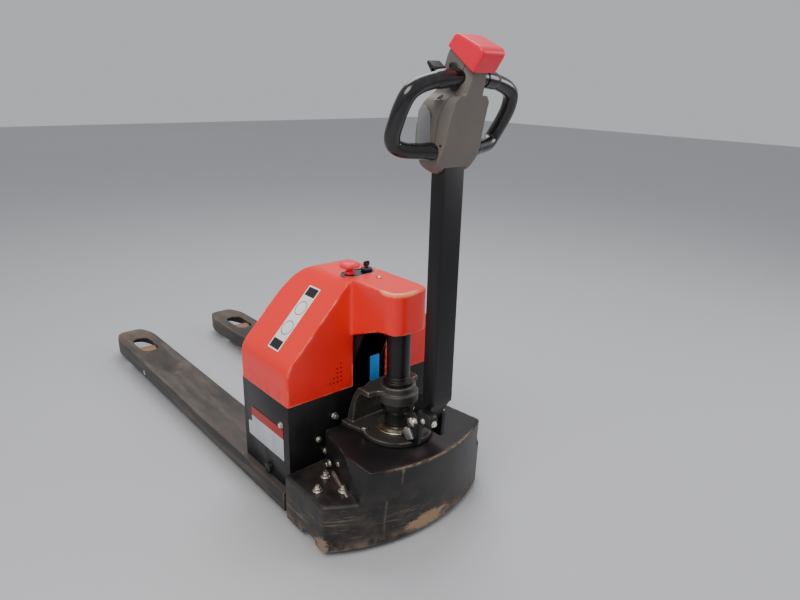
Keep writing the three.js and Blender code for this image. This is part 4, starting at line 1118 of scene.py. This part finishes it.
def build_head():
    side_view = outline([
        (-500, 934, 14), (-526, 942, 14), (-550, 992, 18), (-558, 1034, 16), (-570, 1078, 16),
        *on_seam((NECK_FRONT, -6, 3), (NECK_FRONT, PLUG, 3), (-NECK_BACK, PLUG, 3), (-NECK_BACK, -14, 6)),
        (-502, 1120, 20), (-474, 1076, 18), (-466, 1010, 20), (-474, 950, 16),
    ], steps=8)
    front_view = outline([
        (-24, 930, 10), (24, 930, 10), (50, 950, 16), (61, 990, 16), (60, 1042, 18), (53, 1084, 14),
        (30, 1106, 10), (30, 1230), (-30, 1230), (-30, 1106, 10), (-53, 1084, 14), (-60, 1042, 18),
        (-61, 990, 16), (-50, 950, 16),
    ], steps=8)
    body = common(prism(side_view, "x", -80, 80), prism(front_view, "y", -660, -440))
    tools = []
    cheek = (44, -592), (78, -592), (78, -520), (62, -520)
    neck = (12, -600), (60, -640), (60, -548), (33, -556), (29, -566)
    for side in (-1, 1):
        for points, low, high in ((cheek, 900, 1100), (neck, 1098, 1240)):
            tools.append(prism([(side * x, y) for x, y in points], "z", low, high))
    body = cut(body, *tools)
    bosses = [lathe(corners(0, 11, 1050, 1090), "z", (x, BOSS_Y), 40) for x in (-BOSS_X, BOSS_X)]
    body = moulded(fused(body, *bosses), 1.8, 6)
    recesses = [bar("z", 7.5, 1083, 1110, (x, BOSS_Y), 32, 2) for x in (-BOSS_X, BOSS_X)]
    paths = [handle_path(side) for side in (-1, 1)]
    sockets = [sweep(path, [HANDLE_RADIUS + 0.5] * len(path), 32) for path in paths]
    arm_socket = block(-ARM_HALF - 0.5, ARM_HALF + 0.5, ARM_FRONT - 0.5, ARM_BACK + 0.5, 900, ARM_TOP + 0.5)
    buttons = [button_mesh(radius + 0.6, x, z, -12, 20) for _, x, z, radius, _ in BUTTONS]
    shaft = bar("x", 5.6, -80, 80, PADDLE_SHAFT)
    whole = cut(body, *sockets, arm_socket, *buttons, shaft, *recesses)
    divide = outline([
        (-620, 900), (-528, 900), (-528, 1000), (-536, 1060), (-550, 1100),
        *on_seam((NECK_FRONT - 24, -6), (NECK_FRONT - 24, -3.6), (NECK_FRONT + 40, -3.6)), (-660, 1100),
    ])
    front_zone = prism(divide, "x", -90, 90)
    rear_zone = front_zone.copy()
    rear_zone.transform(Matrix.Translation((0, 1.1, 0.3)))
    holes = [bar("x", 3.4, side * 30 - 30, side * 30 + 30, (-541, 999), 20) for side in (-1, 1)]
    front_shell = cut(common(whole, front_zone), *holes)
    rear_shell = cut(whole, rear_zone)
    for node, shell in (("head_front", front_shell), ("head_rear", rear_shell)):
        stand_in(node, modified(shell, ("WELD", {"merge_threshold": 0.02})), "taupe", sharp=36)
    panel = outline([
        (-516, 970, 5), (-480, 970, 8), (-473, 1000, 10), (-476, 1068, 12), (-492, 1080, 8), (-513, 1060, 8),
    ], steps=5)
    pod = outline([
        (-566, 1118, 6), (-562, 1148, 8), (-548, 1162, 8), (-530, 1160, 4), (-530, 1116, 6), (-548, 1098, 8),
    ])
    for label, side in SIDES:
        mesh = bevelled(prism(panel, "x", *span(side, 58.2, 61.6)), 1.0, 3)
        shaped_piece(f"head_panel_{label}", mesh, "grey_panel", "tiller")
        mesh = bevelled(prism(pod, "x", *span(side, 24, 32.5)), 3, 4)
        shaped_piece(f"switch_pod_{label}", mesh, "dark_plastic", "tiller")


BUTTONS = (
    ("lift_button", -18, 1050, 8, "black_gloss"),
    ("lower_button", 18, 1050, 8, "black_gloss"),
    ("horn_button", 0, 1018, 10, "dark_plastic"),
)


def button_mesh(radius, x, z, low, high):
    """A round button that points out of the rear shell, tipped a little upwards."""
    profile = softened([(0, low), (radius, low), (radius, high), (0, high + 0.01)], 1.4)
    mesh = lathe(profile, "y", (x, 0), 32)
    mesh.transform(Matrix.Translation((0, -470, z)) @ Matrix.Rotation(math.radians(12), 4, "X"))
    return mesh


def build_buttons():
    for name, x, z, radius, look in BUTTONS:
        stand_in(name, button_mesh(radius, x, z, -7, 7), look)


def build_cap():
    front = NECK_FRONT + 6
    back = NECK_BACK + 6
    skin = prism(outline(on_seam(
        (front, -14), (front, 4), (front + 2, 50, 30), (-back + 4, 32, 10), (-back, 4), (-back, -14),
    ), steps=10), "x", -CAP_HALF, CAP_HALF)
    plan = prism(outline([
        (-CAP_HALF, back), (CAP_HALF, back), (CAP_HALF, -front - 2, 10), (-CAP_HALF, -front - 2, 10),
    ], 3), "z", -20, 60)
    plan.transform(Matrix.Translation((0, SEAM_Y, SEAM_Z)) @ Matrix.Rotation(HEAD_TILT, 4, "X"))
    skin = moulded(common(skin, plan), 1.8, 10)
    below = on_seam((front + 30, 0), (front + 30, -40), (-back - 30, -40), (-back - 30, 0))
    deep = PLUG + CAP_TRAVEL + 2
    near, far = NECK_FRONT + 1, -NECK_BACK - 1
    pocket = on_seam((near, -2), (near, deep), (far, deep), (far, -2))
    cap = cut(skin, prism(below, "x", -60, 60), prism(pocket, "x", -CAP_HALF + 3.2, CAP_HALF - 3.2))
    stand_in("belly_switch", cap, "red_cap")


def build_paddles():
    blade = outline([(-527, 1141, 4), (-518, 1138, 4), (-501, 1159, 2), (-505, 1164, 2), (-525, 1150, 4)])
    wings = [bevelled(prism(blade, "x", *span(side, 33, 66)), 1.7, 3) for side in (-1, 1)]
    stand_in("speed_paddles", together(bar("x", 5, -66, 66, PADDLE_SHAFT), *wings), "dark_plastic")


def build_knuckle():
    neck = softened([(0, 265), (34, 265), (33, 300), (44, 307), (44, 327), (0, 327)], 3)
    plan = outline([
        (-24, STEER_Y), (-24, -404, 8), (-45, -428, 8), (-45, -494, 3), (45, -494, 3), (45, -428, 8),
        (24, -404, 8), (24, STEER_Y),
    ])
    side_view = outline([
        (STEER_Y, 265), (STEER_Y, 321), (-414, 321, 10), (-430, 284, 14), (-490, 280, 6), (-494, 265, 6),
    ])
    ear = outline([
        (-432, 266, 6), (-442, 330, 18), (-456, 348, 12), (-486, EAR_TOP, 14), (-500, 326, 16),
        (-496, 266, 8),
    ])
    arm = common(prism(plan, "z", 264, 330), prism(side_view, "x", -46, 46))
    ears = [bevelled(prism(ear, "x", *span(side, 33, 45)), 2, 3) for side in (-1, 1)]
    hub = together(lathe(neck, "z", AXIS), bevelled(arm, 2, 3), *ears)
    stand_in("steering_hub", cut(hub, bar("x", PIVOT_HOLE, -60, 60, PIVOT)), "black_paint")
    bracket = prism(outline([
        (-546, 340, 6), (-546, 366, 10), (-536, 374, 6), (-498, 374, 6), (-498, 349, 6),
    ]), "x", -54, -31)
    shaped_piece("tiller_bracket", bevelled(bracket, 2.2, 3), "black_paint", "tiller")
    front_nut = hex_head("y", (-43, 352), -545.5, -551, 6.5, 8)
    side_nut = hex_head("x", (-520, 352), -53.5, -58, 5.5, 7)
    shaped_piece("bracket_nuts", together(front_nut, side_nut), "zinc", "tiller")
    refine("brake_cam", "silver", 1.2, 3)
    refine("tiller_pin", "zinc", 0.8, 2)
    bolts = [hex_head("x", (-484, 333), side * 45.2, side * 50.2, 6, 7.5) for side in (-1, 1)]
    shaped_piece("ear_bolts", together(*bolts), "zinc", "steering")


for build in (
    build_hood, build_vent_shade_discs, build_controls, build_side_plate, build_slope_plate, build_box_bolts,
    build_cover, build_caster_mounts, build_casting, build_column, build_forks, build_wheels,
    build_arm, build_handles, build_head, build_buttons, build_cap, build_paddles, build_knuckle,
):
    build()

REFINED = {
    "black_paint": (["battery_box", "pump_unit", "column_bracket", "drive_yoke", "lift_crank",
                     "rocker_left", "rocker_right"], 1.2),
    "plate_blue": (["blue_tag"], 0.4),
    "dark_plastic": (["battery"], 3.0),
    "silver": (["controller", "drive_hub"], 1.0),
    "zinc": (["bracket_bolt", "caster_fork_left", "caster_fork_right", "push_rod_left", "push_rod_right",
              "rocker_axle_left", "rocker_axle_right"], 0.8),
    "cast_iron": (["drive_motor"], 1.5),
}
for look, (nodes, width) in REFINED.items():
    for node in nodes:
        refine(node, look, width)
